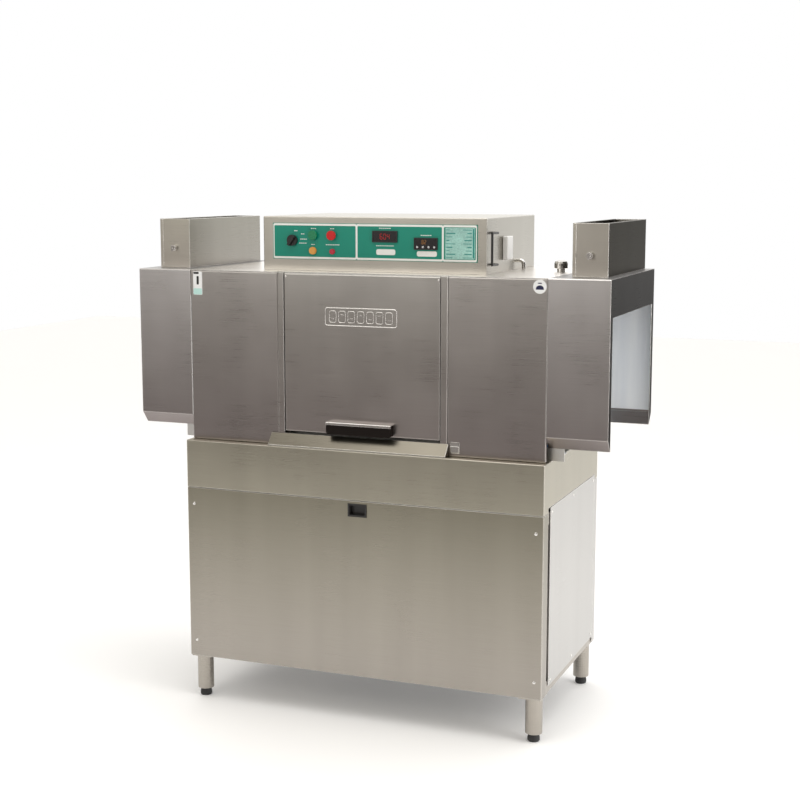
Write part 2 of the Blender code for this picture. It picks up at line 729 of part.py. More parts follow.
def make_hood():
    wall_z = (DECK + REST, WALL_TOP)
    fold = 0.015
    for side, name in ((-1, "hood_front_left"), (1, "hood_front_right")):
        span = mirrored(side, GUIDE_HALF + REST, CHAMBER_HALF)
        wall = pan(span, (HOOD_FRONT, HOOD_FRONT + fold), wall_z, "+Y")
        part(name, wall, "brushed steel")
    rear = pan((-CHAMBER_HALF, CHAMBER_HALF), (HOOD_BACK - fold, HOOD_BACK), wall_z, "-Y")
    part("hood_rear", rear, "brushed steel")

    notch = GUIDE_HALF + REST
    notch_back = GUIDE_BACK + RAISED
    outline = [
        (-CHAMBER_HALF, HOOD_FRONT),
        (-notch, HOOD_FRONT),
        (-notch, notch_back),
        (notch, notch_back),
        (notch, HOOD_FRONT),
        (CHAMBER_HALF, HOOD_FRONT),
        (CHAMBER_HALF, HOOD_BACK),
        (-CHAMBER_HALF, HOOD_BACK),
    ]
    roof = slab("Z", (ROOF - SHEET, ROOF), outline)
    for side in (-1, 1):
        baffle_x = mirrored(side, CURTAIN_X - SHEET / 2, CURTAIN_X + SHEET / 2)
        baffle_y = (HOOD_FRONT + fold + RAISED, HOOD_BACK - fold - RAISED)
        joined(roof, box(baffle_x, baffle_y, (CURTAIN_TOP + CURTAIN_SWING, ROOF - SHEET / 2)))
    part("hood_roof", roof, "brushed steel")


def make_door_frame():
    """Two channels that guide the door, joined by a header, and the drip sill in front of them."""
    lip = GUIDE_HALF - GUIDE_LIP
    rear_lip = GUIDE_HALF - GUIDE_REAR_LIP
    run = [(lip, DOOR_FACE), (GUIDE_HALF, DOOR_FACE), (GUIDE_HALF, GUIDE_BACK), (rear_lip, GUIDE_BACK)]
    left_run = [(-x, y) for x, y in reversed(run)]
    height = (DECK + REST, WALL_TOP)
    frame = slab("Z", height, folded(run, THIN_SHEET))
    joined(frame, slab("Z", height, folded(left_run, THIN_SHEET)))
    bar_x = GUIDE_HALF - BEND
    header_z = (ROOF - HEADER_HEIGHT, WALL_TOP)
    joined(frame, box((-bar_x, bar_x), (GUIDE_BACK - REST, GUIDE_BACK + BAR_DEPTH), header_z))
    part("door_frame", frame, "polished steel")

    left = -DOOR_HALF - SILL_PAST_ENTRY
    right = DOOR_HALF + SILL_PAST_EXIT
    root = DOOR_FACE - REST
    nose = root - SILL_REACH
    foot = DECK + REST
    top = DECK + SILL_HEIGHT
    under = foot - OVERCUT
    outer = [(root, top), (nose, foot + 2 * SHEET), (nose, foot), (root, foot)]
    wall = 2 * SHEET
    inner = [
        (root - SHEET, top - 3 * SHEET),
        (nose + wall, foot + SHEET / 2),
        (nose + wall, under),
        (root - SHEET, under),
    ]
    sill = slab("X", (left, right), outer)
    cut(sill, slab("X", (left + SHEET, right - SHEET), inner))
    part("drip_sill", sill, "brushed steel")


def make_door():
    back = DOOR_FACE + DOOR_DEPTH
    height = (DOOR_BOTTOM, ROOF - DOOR_TOP_GAP)
    door = pan((-DOOR_HALF, DOOR_HALF), (DOOR_FACE, back), height, "+Y", THIN_SHEET)
    for side in (-1, 1):
        runner_x = mirrored(side, DOOR_HALF - THIN_SHEET / 2, DOOR_HALF + DOOR_RUNNER_REACH)
        joined(door, box(runner_x, (back - THIN_SHEET, back), (height[0] + BEND, height[1] - BEND)))
    part("door_panel", door, "brushed steel")

    root = DOOR_FACE - REST
    face = root - HANDLE_DEPTH
    bottom = DOOR_BOTTOM + HANDLE_RAISE
    top = bottom + HANDLE_HEIGHT
    grip_top = top - THIN_SHEET - REST
    outline = [
        (-HANDLE_HALF, grip_top),
        (-HANDLE_HALF, bottom + HANDLE_CORNER),
        (-HANDLE_HALF + HANDLE_CORNER, bottom),
        (HANDLE_HALF - HANDLE_CORNER, bottom),
        (HANDLE_HALF, bottom + HANDLE_CORNER),
        (HANDLE_HALF, grip_top),
    ]
    hollow_x = (-HANDLE_HALF + HANDLE_WALL, HANDLE_HALF - HANDLE_WALL)
    grip = slab("Y", (face, root), outline)
    hollow_z = (bottom - OVERCUT, grip_top - HANDLE_WALL)
    cut(grip, box(hollow_x, (face + HANDLE_WALL, root + OVERCUT), hollow_z))
    part("door_handle", grip, "black plastic")

    lip_face = face - REST - THIN_SHEET
    run = [(lip_face, top - LIP_DROP), (lip_face, top), (root, top)]
    lip = slab("X", (-HANDLE_HALF, HANDLE_HALF), folded(run[::-1], THIN_SHEET, THIN_SHEET + REST))
    part("handle_lip", lip, "polished steel")
    carried("door slide", (0, DOOR_FACE, DOOR_BOTTOM), door, grip, lip)


def make_shroud(side, name):
    """A tunnel end: folded front, roof and rear in one sheet, with a flanged portal at the open end."""
    front = HOOD_FRONT
    back = HOOD_BACK
    lip_z = SHROUD_BOTTOM - LIP_DOWN
    near = CHAMBER_HALF + REST
    run = [
        (back - LIP_IN, lip_z),
        (back, SHROUD_BOTTOM),
        (back, ROOF),
        (front, ROOF),
        (front, SHROUD_BOTTOM),
        (front + LIP_IN, lip_z),
    ]
    portal = [*bent(run), (front + LIP_IN, TUNNEL_CLEAR_TOP), (back - LIP_IN, TUNNEL_CLEAR_TOP)]
    shroud = slab("X", mirrored(side, near, TUNNEL_HALF), folded(run))
    joined(shroud, slab("X", mirrored(side, TUNNEL_HALF - SHEET, TUNNEL_HALF), portal))
    hole_x = mirrored(side, COWL_NEAR + COWL_FLANGE, COWL_FAR - COWL_FLANGE)
    hole_y = (COWL_FRONT + COWL_FLANGE, COWL_BACK - COWL_FLANGE)
    cut(shroud, box(hole_x, hole_y, (ROOF - OVERCUT, ROOF + OVERCUT)))
    return part(name, shroud, "brushed steel")


def make_cowl(side, end):
    """An open vent duct over a shroud, with a damper blade that its front knob turns."""
    x = sorted(mirrored(side, COWL_NEAR, COWL_FAR))
    y = (COWL_FRONT, COWL_BACK)
    inner = rectangle((x[0] + SHEET, x[1] - SHEET), (y[0] + SHEET, y[1] - SHEET))
    throat = rectangle((x[0] + COWL_FLANGE, x[1] - COWL_FLANGE), (y[0] + COWL_FLANGE, y[1] - COWL_FLANGE))
    cowl = slab("Z", (ROOF + REST, COWL_TOP), rectangle(x, y), inner[::-1])
    joined(cowl, slab("Z", (COWL_TOP - SHEET, COWL_TOP), rectangle(x, y), throat[::-1]))
    centre = (side * COWL_X, DAMPER_Z)
    hole_y = (COWL_FRONT - OVERCUT, COWL_FRONT + OVERCUT)
    cut(cowl, rod("Y", centre, hole_y, SPINDLE_RADIUS + RUNNING, sides=12))
    part(f"vent_cowl_{end}", cowl, "brushed steel")

    knob_back = COWL_FRONT - THIN_SHEET
    knob_front = knob_back - DAMPER_KNOB_DEPTH
    half_width = COWL_WIDTH / 2 - 3 * SHEET
    blade_x = (centre[0] - half_width, centre[0] + half_width)
    blade_y = (COWL_FRONT + COWL_FLANGE, COWL_BACK - COWL_FLANGE)
    blade = box(blade_x, blade_y, (DAMPER_Z - THIN_SHEET / 2, DAMPER_Z + THIN_SHEET / 2))
    spindle_y = (knob_front + 2 * SHEET, COWL_BACK - 2 * SHEET)
    joined(blade, rod("Y", centre, spindle_y, SPINDLE_RADIUS, sides=12))
    part(f"damper_blade_{end}", blade, "galvanised steel")

    knob = rod("Y", centre, (knob_front, knob_back), DAMPER_KNOB_RADIUS)
    wing_x = (centre[0] - SPINDLE_RADIUS, centre[0] + SPINDLE_RADIUS)
    wing_z = (DAMPER_Z - DAMPER_KNOB_RADIUS + REST, DAMPER_Z + DAMPER_KNOB_RADIUS - REST)
    joined(knob, box(wing_x, (knob_front - 4 * SHEET, knob_front + SHEET), wing_z))
    socket_y = (knob_front + 2 * SHEET - REST, knob_back + OVERCUT)
    cut(knob, rod("Y", centre, socket_y, SPINDLE_RADIUS + RUNNING / 2, sides=12))
    part(f"damper_knob_{end}", knob, "polished steel")
    carried(f"damper {end} axis", (centre[0], COWL_FRONT, DAMPER_Z), blade, knob)


def window(place, size, margin=BEZEL):
    """The hole behind an instrument's bezel, as its two spans."""
    left, bottom = on_fascia(place)
    return (left + margin, left + size[0] - margin), (bottom + margin, bottom + size[1] - margin)


def make_control_box():
    """The housing on the roof, with a cut-out behind each group of controls, and its printed fascia."""
    housing = pan((BOX_LEFT, BOX_RIGHT), (BOX_FRONT, BOX_BACK), (ROOF + REST, BOX_TOP), "-Z")
    front = (BOX_FRONT - OVERCUT, BOX_FRONT + OVERCUT)
    margin = SELECTOR_RADIUS
    controls = [on_fascia(p) for p in (SELECTOR_PLACE, *BUTTON_PLACES.values(), *LAMP_PLACES.values())]
    span_x = (min(p[0] for p in controls) - margin, max(p[0] for p in controls) + margin)
    span_z = (min(p[1] for p in controls) - margin, max(p[1] for p in controls) + margin)
    windows = [window(place, size, 0) for place, size in INSTRUMENTS.values()]
    both_x = (windows[0][0][0], windows[1][0][1])
    both_z = (min(z[0] for x, z in windows), max(z[1] for x, z in windows))
    cut(housing, box(span_x, front, span_z), box(both_x, front, both_z))
    part("control_box", housing, "brushed steel")

    holes = [circle(on_fascia(SELECTOR_PLACE), SELECTOR_SHAFT + RUNNING)]
    holes += [circle(on_fascia(place), BUTTON_STEM + RUNNING) for place in BUTTON_PLACES.values()]
    holes += [circle(on_fascia(place), LAMP_STEM + RUNNING, 12) for place in LAMP_PLACES.values()]
    holes += [rectangle(*window(place, size)) for place, size in INSTRUMENTS.values()]
    outline = rectangle((FASCIA_LEFT, FASCIA_RIGHT), (FASCIA_BOTTOM, FASCIA_TOP))
    fascia = slab("Y", (FASCIA_FACE, FASCIA_FACE + SHEET), outline, *[hole[::-1] for hole in holes])
    part("control_fascia", fascia, "green fascia")


def make_controls():
    """What stands on the fascia: each piece has a stem that reaches into the box."""
    face = FASCIA_FACE - REST
    inside = BOX_FRONT + OVERCUT
    centre = on_fascia(SELECTOR_PLACE)
    grip = SELECTOR_RADIUS / 4
    knob = rod("Y", centre, (face - 0.010, face), SELECTOR_RADIUS, sides=FINE)
    corners = [(-grip, -0.019), (grip, -0.019), (grip, 0.017), (-grip, 0.017)]
    turn = Matrix.Rotation(math.radians(-35), 2)
    pointer = [tuple(Vector(centre) + turn @ Vector(corner)) for corner in corners]
    joined(knob, slab("Y", (face - 0.019, face - 0.009), pointer))
    joined(knob, rod("Y", centre, (face - SHEET, inside), SELECTOR_SHAFT, sides=12))
    part("selector_knob", knob, "black plastic")
    carried("selector axis", (centre[0], face, centre[1]), knob)

    colours = {"start_button": "green plastic", "stop_button": "red plastic"}
    for name, place in BUTTON_PLACES.items():
        centre = on_fascia(place)
        cap_back = face - BUTTON_TRAVEL - RAISED
        button = rod("Y", centre, (cap_back - 0.007, cap_back), BUTTON_RADIUS, sides=FINE)
        joined(button, rod("Y", centre, (cap_back - RAISED, inside), BUTTON_STEM))
        part(name, button, colours[name])
        carried(f"{name} slide", (centre[0], face, centre[1]), button)

    lenses = {"power_lamp": "amber lens", "fault_lamp": "red plastic"}
    for name, place in LAMP_PLACES.items():
        centre = on_fascia(place)
        radius = LAMP_RADII[name]
        lamp = rod("Y", centre, (face - 0.003, face), radius)
        dome = rod("Y", centre, (face - 0.0075, face - 0.0028), radius * 0.95, radius * 0.55)
        dome.data.transform(Matrix.Rotation(math.pi, 4, "X"))
        joined(lamp, dome, rod("Y", centre, (face - RAISED, inside), LAMP_STEM, sides=12))
        part(name, lamp, lenses[name])

    for name, (place, size) in INSTRUMENTS.items():
        bezel = window(place, size, 0)
        body = window(place, size, BEZEL + RUNNING)
        unit = box(bezel[0], (face - HANDLE_WALL, face), bezel[1])
        joined(unit, box(body[0], (face - RAISED, BOX_FRONT + INSTRUMENT_DEPTH), body[1]))
        part(name, unit, "black plastic")


def make_box_fittings():
    wall = BOX_RIGHT + REST
    reach = wall + SIDE_HANDLE_REACH
    far = BOX_FRONT + SIDE_HANDLE_BACK
    near = far + SIDE_HANDLE_WIDTH
    low = ROOF + SIDE_HANDLE_RAISE
    high = low + SIDE_HANDLE_HEIGHT
    path = [
        (wall, near, high),
        (reach, near, high),
        (reach, far, high),
        (reach, far, low),
        (reach, near, low),
        (wall, near, low),
    ]
    part("side_handle", pipe(path, SPINDLE_RADIUS), "black plastic")

    cover_y = BOX_FRONT + SIDE_COVER_BACK
    cover_z = ROOF + SIDE_COVER_RAISE
    depth, width, height = SIDE_COVER_SIZE
    cover = box((wall, wall + depth), (cover_y, cover_y + width), (cover_z, cover_z + height))
    bevel = cover.modifiers.new("Edges", "BEVEL")
    bevel.width = 0.003
    bevel.segments = 2
    part("side_cover", cover, "white plastic")

    foot = ROOF + REST
    profile = [
        (0, foot + 0.040),
        (0.010, foot + 0.039),
        (0.019, foot + 0.034),
        (0.022, foot + 0.027),
        (0.022, foot + 0.012),
        (0.013, foot + 0.010),
        (0.013, foot),
        (0, foot),
    ]
    centre = (CHAMBER_HALF - BREAKER_FROM_END, BREAKER_Y)
    part("vacuum_breaker", turned(profile, centre, FINE), "polished steel")


def make_track():
    """Two angle rails on cross ties, which carry the racks through the tunnel."""
    foot = DECK + REST
    inner = TRACK_GAUGE
    outer = TRACK_GAUGE + TRACK_THICKNESS
    ledge = inner - TRACK_LEDGE
    half_length = CABINET_HALF + TRACK_PAST_CABINET
    outline = [
        (outer, foot),
        (outer, TRACK_TOP),
        (inner, TRACK_TOP),
        (inner, RACK_PLANE),
        (ledge, RACK_PLANE),
        (ledge, RACK_PLANE - TRACK_THICKNESS),
        (inner, RACK_PLANE - TRACK_THICKNESS),
        (inner, foot),
    ]
    length = (-half_length, half_length)
    track = slab("X", length, outline)
    joined(track, slab("X", length, [(-y, z) for y, z in reversed(outline)]))
    for x in TIES:
        tie_x = (x - TIE_WIDTH / 2, x + TIE_WIDTH / 2)
        joined(track, box(tie_x, (-inner - RAISED, inner + RAISED), (foot + RAISED, TIE_TOP)))
    return part("rack_track", track, "brushed steel")


def make_drive():
    """A crank on the deck pushes a bar under the racks to and fro, and the bar's pawls catch the racks."""
    crank_x, crank_y = CRANK
    bar_end = crank_x - 2 * SHAFT_RADIUS
    bar = box((bar_end - BAR_LENGTH, bar_end), (-BAR_HALF, BAR_HALF), (BAR_BOTTOM, BAR_BOTTOM + BAR_HEIGHT))
    slot_half = CRANK_PIN + PIN_PLAY
    slot_reach = STROKE + CRANK_PIN + PIN_PLAY * 3
    yoke_half = slot_half + 0.0175
    yoke = rectangle((crank_x - yoke_half, crank_x + yoke_half), (-slot_reach - 0.0135, slot_reach + 0.0135))
    slot = rectangle((crank_x - slot_half, crank_x + slot_half), (-slot_reach, slot_reach))
    joined(bar, slab("Z", (BAR_BOTTOM, BAR_BOTTOM + BAR_HEIGHT - SHEET), yoke, slot[::-1]))
    for x in PAWLS:
        bore_y = (RAISED, BAR_HALF + OVERCUT)
        cut(bar, rod("Y", (x, PIVOT_Z), bore_y, PAWL_AXLE + RUNNING / 2, sides=12))
    part("pawl_carriage", bar, "brushed steel")
    carriage = carried("carriage slide", (0, 0, PIVOT_Z), bar)

    tip = [(0.045, -0.002), (0.045, 0.030), (0.037, 0.030)]
    shape = [(-0.010, -0.004), *tip, (-0.006, 0.006), (-0.010, 0.004)]
    pawl_y = (BAR_HALF + RAISED, BAR_HALF + RAISED + 0.005)
    for number, x in enumerate(PAWLS, 1):
        pawl = slab("Y", pawl_y, [(x + u, PIVOT_Z + w) for u, w in shape])
        joined(pawl, rod("Y", (x, PIVOT_Z), (2 * RAISED, BAR_HALF + 2 * RAISED), PAWL_AXLE, sides=12))
        part(f"pawl_{number}", pawl, "polished steel")
        carried(f"pawl {number} axis", (x, 0, PIVOT_Z), pawl, by=carriage)

    arm_z = (DECK + PIN_PLAY + REST, DECK + PIN_PLAY + REST + CRANK_THICKNESS)
    pin = (crank_x, crank_y + STROKE)
    shaft_foot = UNDER_DECK - 0.0355
    arm = rod("Z", CRANK, arm_z, 0.016)
    joined(arm, box((crank_x - 0.009, crank_x + 0.009), (crank_y, pin[1]), arm_z))
    joined(arm, rod("Z", pin, arm_z, 0.012))
    joined(arm, rod("Z", pin, (arm_z[0] + RAISED, BAR_BOTTOM - REST), CRANK_PIN, sides=12))
    joined(arm, rod("Z", CRANK, (shaft_foot, arm_z[0] + RAISED), SHAFT_RADIUS))
    part("drive_crank", arm, "polished steel")
    carried("crank axis", (crank_x, crank_y, arm_z[0]), arm)

    half_x, half_y = GEARBOX_HALF
    gearbox_foot = UNDER_DECK - GEARBOX_HEIGHT
    can_foot = gearbox_foot - MOTOR_CAN_LENGTH
    motor = box((crank_x - half_x, crank_x + half_x), (-half_y, half_y), (gearbox_foot, UNDER_DECK))
    joined(motor, rod("Z", CRANK, (can_foot, gearbox_foot + RAISED), MOTOR_CAN_RADIUS, sides=FINE))
    cut(motor, rod("Z", CRANK, (shaft_foot - 4 * RAISED, DECK), SHAFT_RADIUS + RUNNING))
    cut(motor, rod("Z", CRANK, (can_foot - OVERCUT, can_foot + 0.025), FAN_SHAFT + RUNNING, sides=12))
    part("drive_gearmotor", motor, "cast iron")

    fan_foot = can_foot - 0.022
    blade_z = (fan_foot + SHEET, fan_foot + 7 * SHEET)
    half = THIN_SHEET / 2
    fan = rod("Z", CRANK, (fan_foot, blade_z[1] + SHEET), 0.012, sides=12)
    joined(fan, rod("Z", CRANK, (blade_z[1], can_foot + 0.020), FAN_SHAFT, sides=12))
    joined(fan, box((crank_x - FAN_RADIUS, crank_x + FAN_RADIUS), (-half, half), blade_z))
    joined(fan, box((crank_x - half, crank_x + half), (-FAN_RADIUS, FAN_RADIUS), blade_z))
    part("motor_fan", fan, "black plastic")
    carried("fan axis", (crank_x, crank_y, fan_foot), fan)


def make_pump():
    """A horizontal pump under the tank, which draws from the tank and feeds the wash pipes."""
    axis = (0.0, PUMP_AXIS_Z)
    floor = TANK_FLOOR - REST
    shelf_top = LEG_HEIGHT + RAIL_HEIGHT + REST
    x = SUCTION[0]
    pipe_radius = SUCTION_BORE + PIPE_WALL
    foot_x = [x + place for place in PUMP_FOOT]
    motor_x = [x + place for place in MOTOR_SPAN]
    volute_x = [x + place for place in VOLUTE_SPAN]
    elbow = PUMP_AXIS_Z - pipe_radius - SHEET
    pump = rod("X", axis, motor_x, MOTOR_RADIUS, sides=FINE)
    joined(pump, rod("X", axis, volute_x, VOLUTE_RADIUS, sides=FINE))
    joined(pump, box(foot_x, (-0.05, 0.05), (shelf_top, PUMP_AXIS_Z - MOTOR_RADIUS / 2)))
    outlet_x = x - 0.070
    discharge = [
        (outlet_x, 0.05, PUMP_AXIS_Z),
        (outlet_x, RISER[1] - 0.081, PUMP_AXIS_Z + 0.03),
        (*RISER, PUMP_AXIS_Z + 0.12),
        (*RISER, floor),
    ]
    joined(pump, rod("X", axis, (volute_x[1] - 0.005, x + 0.010), pipe_radius + RAISED))
    joined(pump, rod("Z", SUCTION, (elbow, floor), pipe_radius), pipe(discharge, WASH_PIPE))
    chamber = (volute_x[0] + 0.022, volute_x[1] - 0.010)
    cut(pump, rod("X", axis, chamber, VOLUTE_RADIUS - VOLUTE_WALL, sides=FINE))
    cut(pump, rod("X", axis, (chamber[1] - 0.005, x), SUCTION_BORE - SHEET))
    cut(pump, rod("Z", SUCTION, (elbow + PIPE_WALL + SHEET, floor + OVERCUT), SUCTION_BORE))
    cut(pump, rod("X", axis, (chamber[0] - 0.050, chamber[0] + OVERCUT), PUMP_SHAFT + RUNNING, sides=12))
    part("wash_pump", pump, "cast iron")

    disc = (chamber[0] + 0.005, chamber[0] + 0.010)
    shaft = (chamber[0] - 0.045, disc[0] + SHEET)
    hub = (disc[1] - SHEET, disc[1] + 0.020)
    vane_x = (disc[1] - RAISED, hub[1] - SHEET)
    half = THIN_SHEET
    reach = VOLUTE_RADIUS - VOLUTE_WALL - 0.018
    impeller = rod("X", axis, disc, reach + 0.005, sides=FINE)
    joined(impeller, rod("X", axis, hub, 2 * PUMP_SHAFT, sides=12))
    joined(impeller, rod("X", axis, shaft, PUMP_SHAFT, sides=12))
    joined(impeller, box(vane_x, (-half, half), (PUMP_AXIS_Z - reach, PUMP_AXIS_Z + reach)))
    joined(impeller, box(vane_x, (-reach, reach), (PUMP_AXIS_Z - half, PUMP_AXIS_Z + half)))
    part("pump_impeller", impeller, "brushed steel")
    carried("impeller axis", (disc[1], 0, PUMP_AXIS_Z), impeller)


def make_spray_pipes():
    """Wash arms below and above the racks on one riser, and a rinse loop at the exit end."""
    x, y = RISER
    low = TANK_FLOOR + SHEET + REST
    header_y = y - HEADER_FROM_RISER
    rinse_x = TANK_RIGHT - RINSE_FROM_TANK_END
    arms = [rinse_x - RINSE_FROM_ARM - ARM_PITCH * step for step in (2, 1, 0)]
    header_x = (min(x, arms[0]) - HEADER_PAST_ARM, max(x, arms[-1]) + HEADER_PAST_ARM)
    wash = pipe([(x, y, low), (x, y, UPPER_ARM_Z)], WASH_PIPE)
    for level in (LOWER_ARM_Z, UPPER_ARM_Z - RAISED):
        joined(wash, pipe([(end, header_y, level) for end in header_x], WASH_PIPE))
        joined(wash, pipe([(x, y + SHEET, level), (x, header_y, level)], WASH_PIPE * 0.9))
        for arm_x in arms:
            joined(wash, pipe([(arm_x, header_y, level), (arm_x, ARM_END, level)], WASH_PIPE * 0.85))
    part("wash_manifold", wash, "brushed steel")

    rinse_y = TANK_INSIDE - RINSE_FROM_WALL - RINSE_PIPE
    bottom = DECK - RINSE_LOW_DOWN
    top = UPPER_ARM_Z + RINSE_ABOVE_WASH
    turn = 4 * SHEET
    path = [
        (rinse_x, ARM_END, bottom),
        (rinse_x, rinse_y - turn, bottom),
        (rinse_x, rinse_y, bottom + turn),
        (rinse_x, rinse_y, top - turn),
        (rinse_x, rinse_y - turn, top),
        (rinse_x, ARM_END, top),
    ]
    part("rinse_manifold", pipe(path, RINSE_PIPE), "polished steel")


def make_tank_fittings():
    """The overflow standpipe in the drain, the valve and lever under it, the heater and the scrap tray."""
    seat = TANK_FLOOR + SHEET + REST
    rim = DECK - STANDPIPE_DOWN
    bore = DRAIN_BORE + 0.0035
    tube = bore + HANDLE_WALL
    outside = [(tube, rim), (tube, seat + OVERCUT), (tube + 0.0025, seat)]
    standpipe = turned([(bore, rim), *outside, (bore, seat), (bore, rim)], DRAIN)
    x, y = DRAIN
    bar_x = (x - tube + RAISED, x + tube - RAISED)
    joined(standpipe, box(bar_x, (y - HANDLE_WALL, y + HANDLE_WALL), (rim - 6 * SHEET, rim - SHEET)))
    part("overflow_standpipe", standpipe, "polished steel")
    carried("standpipe slide", (x, y, seat), standpipe)

    floor = TANK_FLOOR - REST
    foot = TANK_FLOOR - VALVE_LENGTH
    ball_z = TANK_FLOOR - VALVE_BALL_DOWN
    stem_z = (x, ball_z)
    body = 0.018
    ball = 0.032
    profile = [
        (0, floor),
        (0.026, floor),
        (0.026, floor - 0.008),
        (body, floor - 0.010),
        (body, ball_z + 0.030),
        (ball, ball_z + 0.016),
        (ball, ball_z - 0.016),
        (body, ball_z - 0.030),
        (body, foot),
        (0, foot),
    ]
    valve = turned(profile, DRAIN)
    stem = 0.005
    cut(valve, rod("Y", stem_z, (y - ball - OVERCUT, y - 0.020), stem + RUNNING, sides=12))
    part("drain_valve", valve, "polished steel")
    lever_y = y - ball - 0.010
    grip_y = (lever_y - HANDLE_WALL, lever_y + RAISED)
    lever = rod("Y", stem_z, (lever_y, y - 0.022), stem, sides=12)
    joined(lever, box((x - 0.010, x + 0.100), grip_y, (ball_z - 4 * SHEET, ball_z + 4 * SHEET)))
    part("drain_lever", lever, "red plastic")
    carried("drain lever axis", (x, lever_y, ball_z), lever)

    wall = -TANK_INSIDE + REST
    heater_z = TANK_FLOOR + HEATER_RAISE
    near, far = [TANK_RIGHT - place for place in HEATER_FROM_END]
    start = wall + RAISED
    reach = 0.06
    hairpin = [(near, start), (near, reach), (far, reach), (far, start)]
    flange = 0.025
    flange_x = (near - flange, far + flange)
    heater = box(flange_x, (wall, wall + 2 * SHEET), (heater_z - flange, heater_z + flange))
    joined(heater, pipe([(x, y, heater_z) for x, y in hairpin], 0.006, 8))
    part("tank_heater", heater, "polished steel")

    tray_y = (-TANK_INSIDE + REST, TANK_INSIDE - REST)
    tray_top = DECK - TRAY_TOP_DOWN
    tray_x = (SUCTION[0] + TRAY_FROM_SUCTION, TANK_RIGHT - SHEET - REST)
    part("scrap_tray", pan(tray_x, tray_y, (tray_top - TRAY_DEPTH, tray_top), "+Z"), "brushed steel")


def make_curtains():
    for side, name in ((-1, "entry_curtain"), (1, "exit_curtain")):
        half = CURTAIN_THICKNESS / 2
        span = mirrored(side, CURTAIN_X - half, CURTAIN_X + half)
        curtain = box(span, (-CURTAIN_HALF, CURTAIN_HALF), (CURTAIN_BOTTOM, CURTAIN_TOP))
        part(name, curtain, "curtain")
        carried(f"{name} axis", (side * CURTAIN_X, 0, CURTAIN_TOP), curtain)


make_cabinet_frame()
make_feet()
make_front_panel()
make_other_panels()
make_tank_band()
make_wash_tank()
make_hood()
make_door_frame()
make_door()
make_shroud(-1, "entry_shroud")
make_shroud(1, "exit_shroud")
make_cowl(-1, "left")
make_cowl(1, "right")
make_control_box()
make_controls()
make_box_fittings()
make_track()
make_drive()
make_pump()
make_spray_pipes()
make_tank_fittings()
make_curtains()
bpy.context.view_layer.update()
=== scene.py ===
# %% [markdown]
# # Dressing a rack-conveyor dishwasher
# The machine arrives as a set of finished solids that already hinge and slide where the real one does. This
# lesson gives them brushed steel, plastic and glass, and adds what a plain solid leaves out: screws, print,
# instruments, spray nozzles and strip curtains. Every new piece takes its place from the solids it sits on.

# %% Load the machine and measure it
import math

import bmesh
import bpy
from mathutils import Matrix, Vector


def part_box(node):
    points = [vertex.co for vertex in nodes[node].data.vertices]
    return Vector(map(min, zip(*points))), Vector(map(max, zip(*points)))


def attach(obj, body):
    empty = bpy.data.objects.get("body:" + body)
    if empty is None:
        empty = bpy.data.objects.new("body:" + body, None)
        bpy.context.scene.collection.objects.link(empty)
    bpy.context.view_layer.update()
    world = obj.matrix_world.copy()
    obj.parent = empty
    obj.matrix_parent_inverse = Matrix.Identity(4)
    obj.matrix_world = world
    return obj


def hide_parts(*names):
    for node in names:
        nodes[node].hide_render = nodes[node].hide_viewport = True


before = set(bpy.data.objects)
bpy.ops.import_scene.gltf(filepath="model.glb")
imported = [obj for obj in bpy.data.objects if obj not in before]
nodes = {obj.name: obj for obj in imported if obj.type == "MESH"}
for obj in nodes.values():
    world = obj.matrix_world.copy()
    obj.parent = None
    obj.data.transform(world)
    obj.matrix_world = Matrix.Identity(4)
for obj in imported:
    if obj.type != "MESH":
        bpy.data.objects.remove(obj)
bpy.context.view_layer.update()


def low(node):
    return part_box(node)[0]


def high(node):
    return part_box(node)[1]


fascia_y = low("control_fascia").y
door_y = low("door_panel").y
hood_y = low("hood_front_left").y
cover_y = low("front_panel").y
roof_z = high("hood_roof").z
print(f"fascia at y {fascia_y:.4f}, door at {door_y:.4f}, hood at {hood_y:.4f}, cover at {cover_y:.4f}")

# %% [markdown]
# ## Camera
# The machine is seen from its exit end, a little from above, with a short telephoto lens. A camera looks down
# its own -Z, so turning it up by ninety degrees makes it look level, and taking some away tips it down.

# %% Place the camera
EYE = (1.8336, -4.6012, 1.7595)
TIP_DOWN = math.radians(8.4617)
TURN_LEFT = math.radians(21.551)
camera = bpy.data.objects.new("camera", bpy.data.cameras.new("camera"))
camera.data.lens = 66.04
camera.data.sensor_width = 36.0
camera.location = EYE
camera.rotation_euler = (math.radians(90) - TIP_DOWN, 0, TURN_LEFT)
bpy.context.scene.collection.objects.link(camera)
bpy.context.scene.camera = camera
print("lens", round(camera.data.lens, 1), "mm")

# %% [markdown]
# ## Building nodes from Python
# A shader and a Geometry Nodes tree are wired in the same way: make a node, set its options, then give each
# input a number or another node's output. One small helper does all three, so the cells below read like lists.


# %% Helpers for node trees
def add(tree, kind, values=None, **options):
    """A new node. Each value is a number, a colour or another node's output socket."""
    node = tree.nodes.new(kind)
    for name, option in options.items():
        setattr(node, name, option)
    for key, value in (values or {}).items():
        if isinstance(value, bpy.types.NodeSocket):
            tree.links.new(value, node.inputs[key])
        else:
            node.inputs[key].default_value = value
    return node


def calc(tree, operation, a, b=0.0, **options):
    """A sum on two numbers or sockets."""
    return add(tree, "ShaderNodeMath", {0: a, 1: b}, operation=operation, **options).outputs[0]


def ramp_range(tree, value, start, end, to_start=0.0, to_end=1.0):
    """Stretches a value from one range to another, and holds it at the ends."""
    values = {"Value": value, "From Min": start, "From Max": end, "To Min": to_start, "To Max": to_end}
    return add(tree, "ShaderNodeMapRange", values).outputs["Result"]


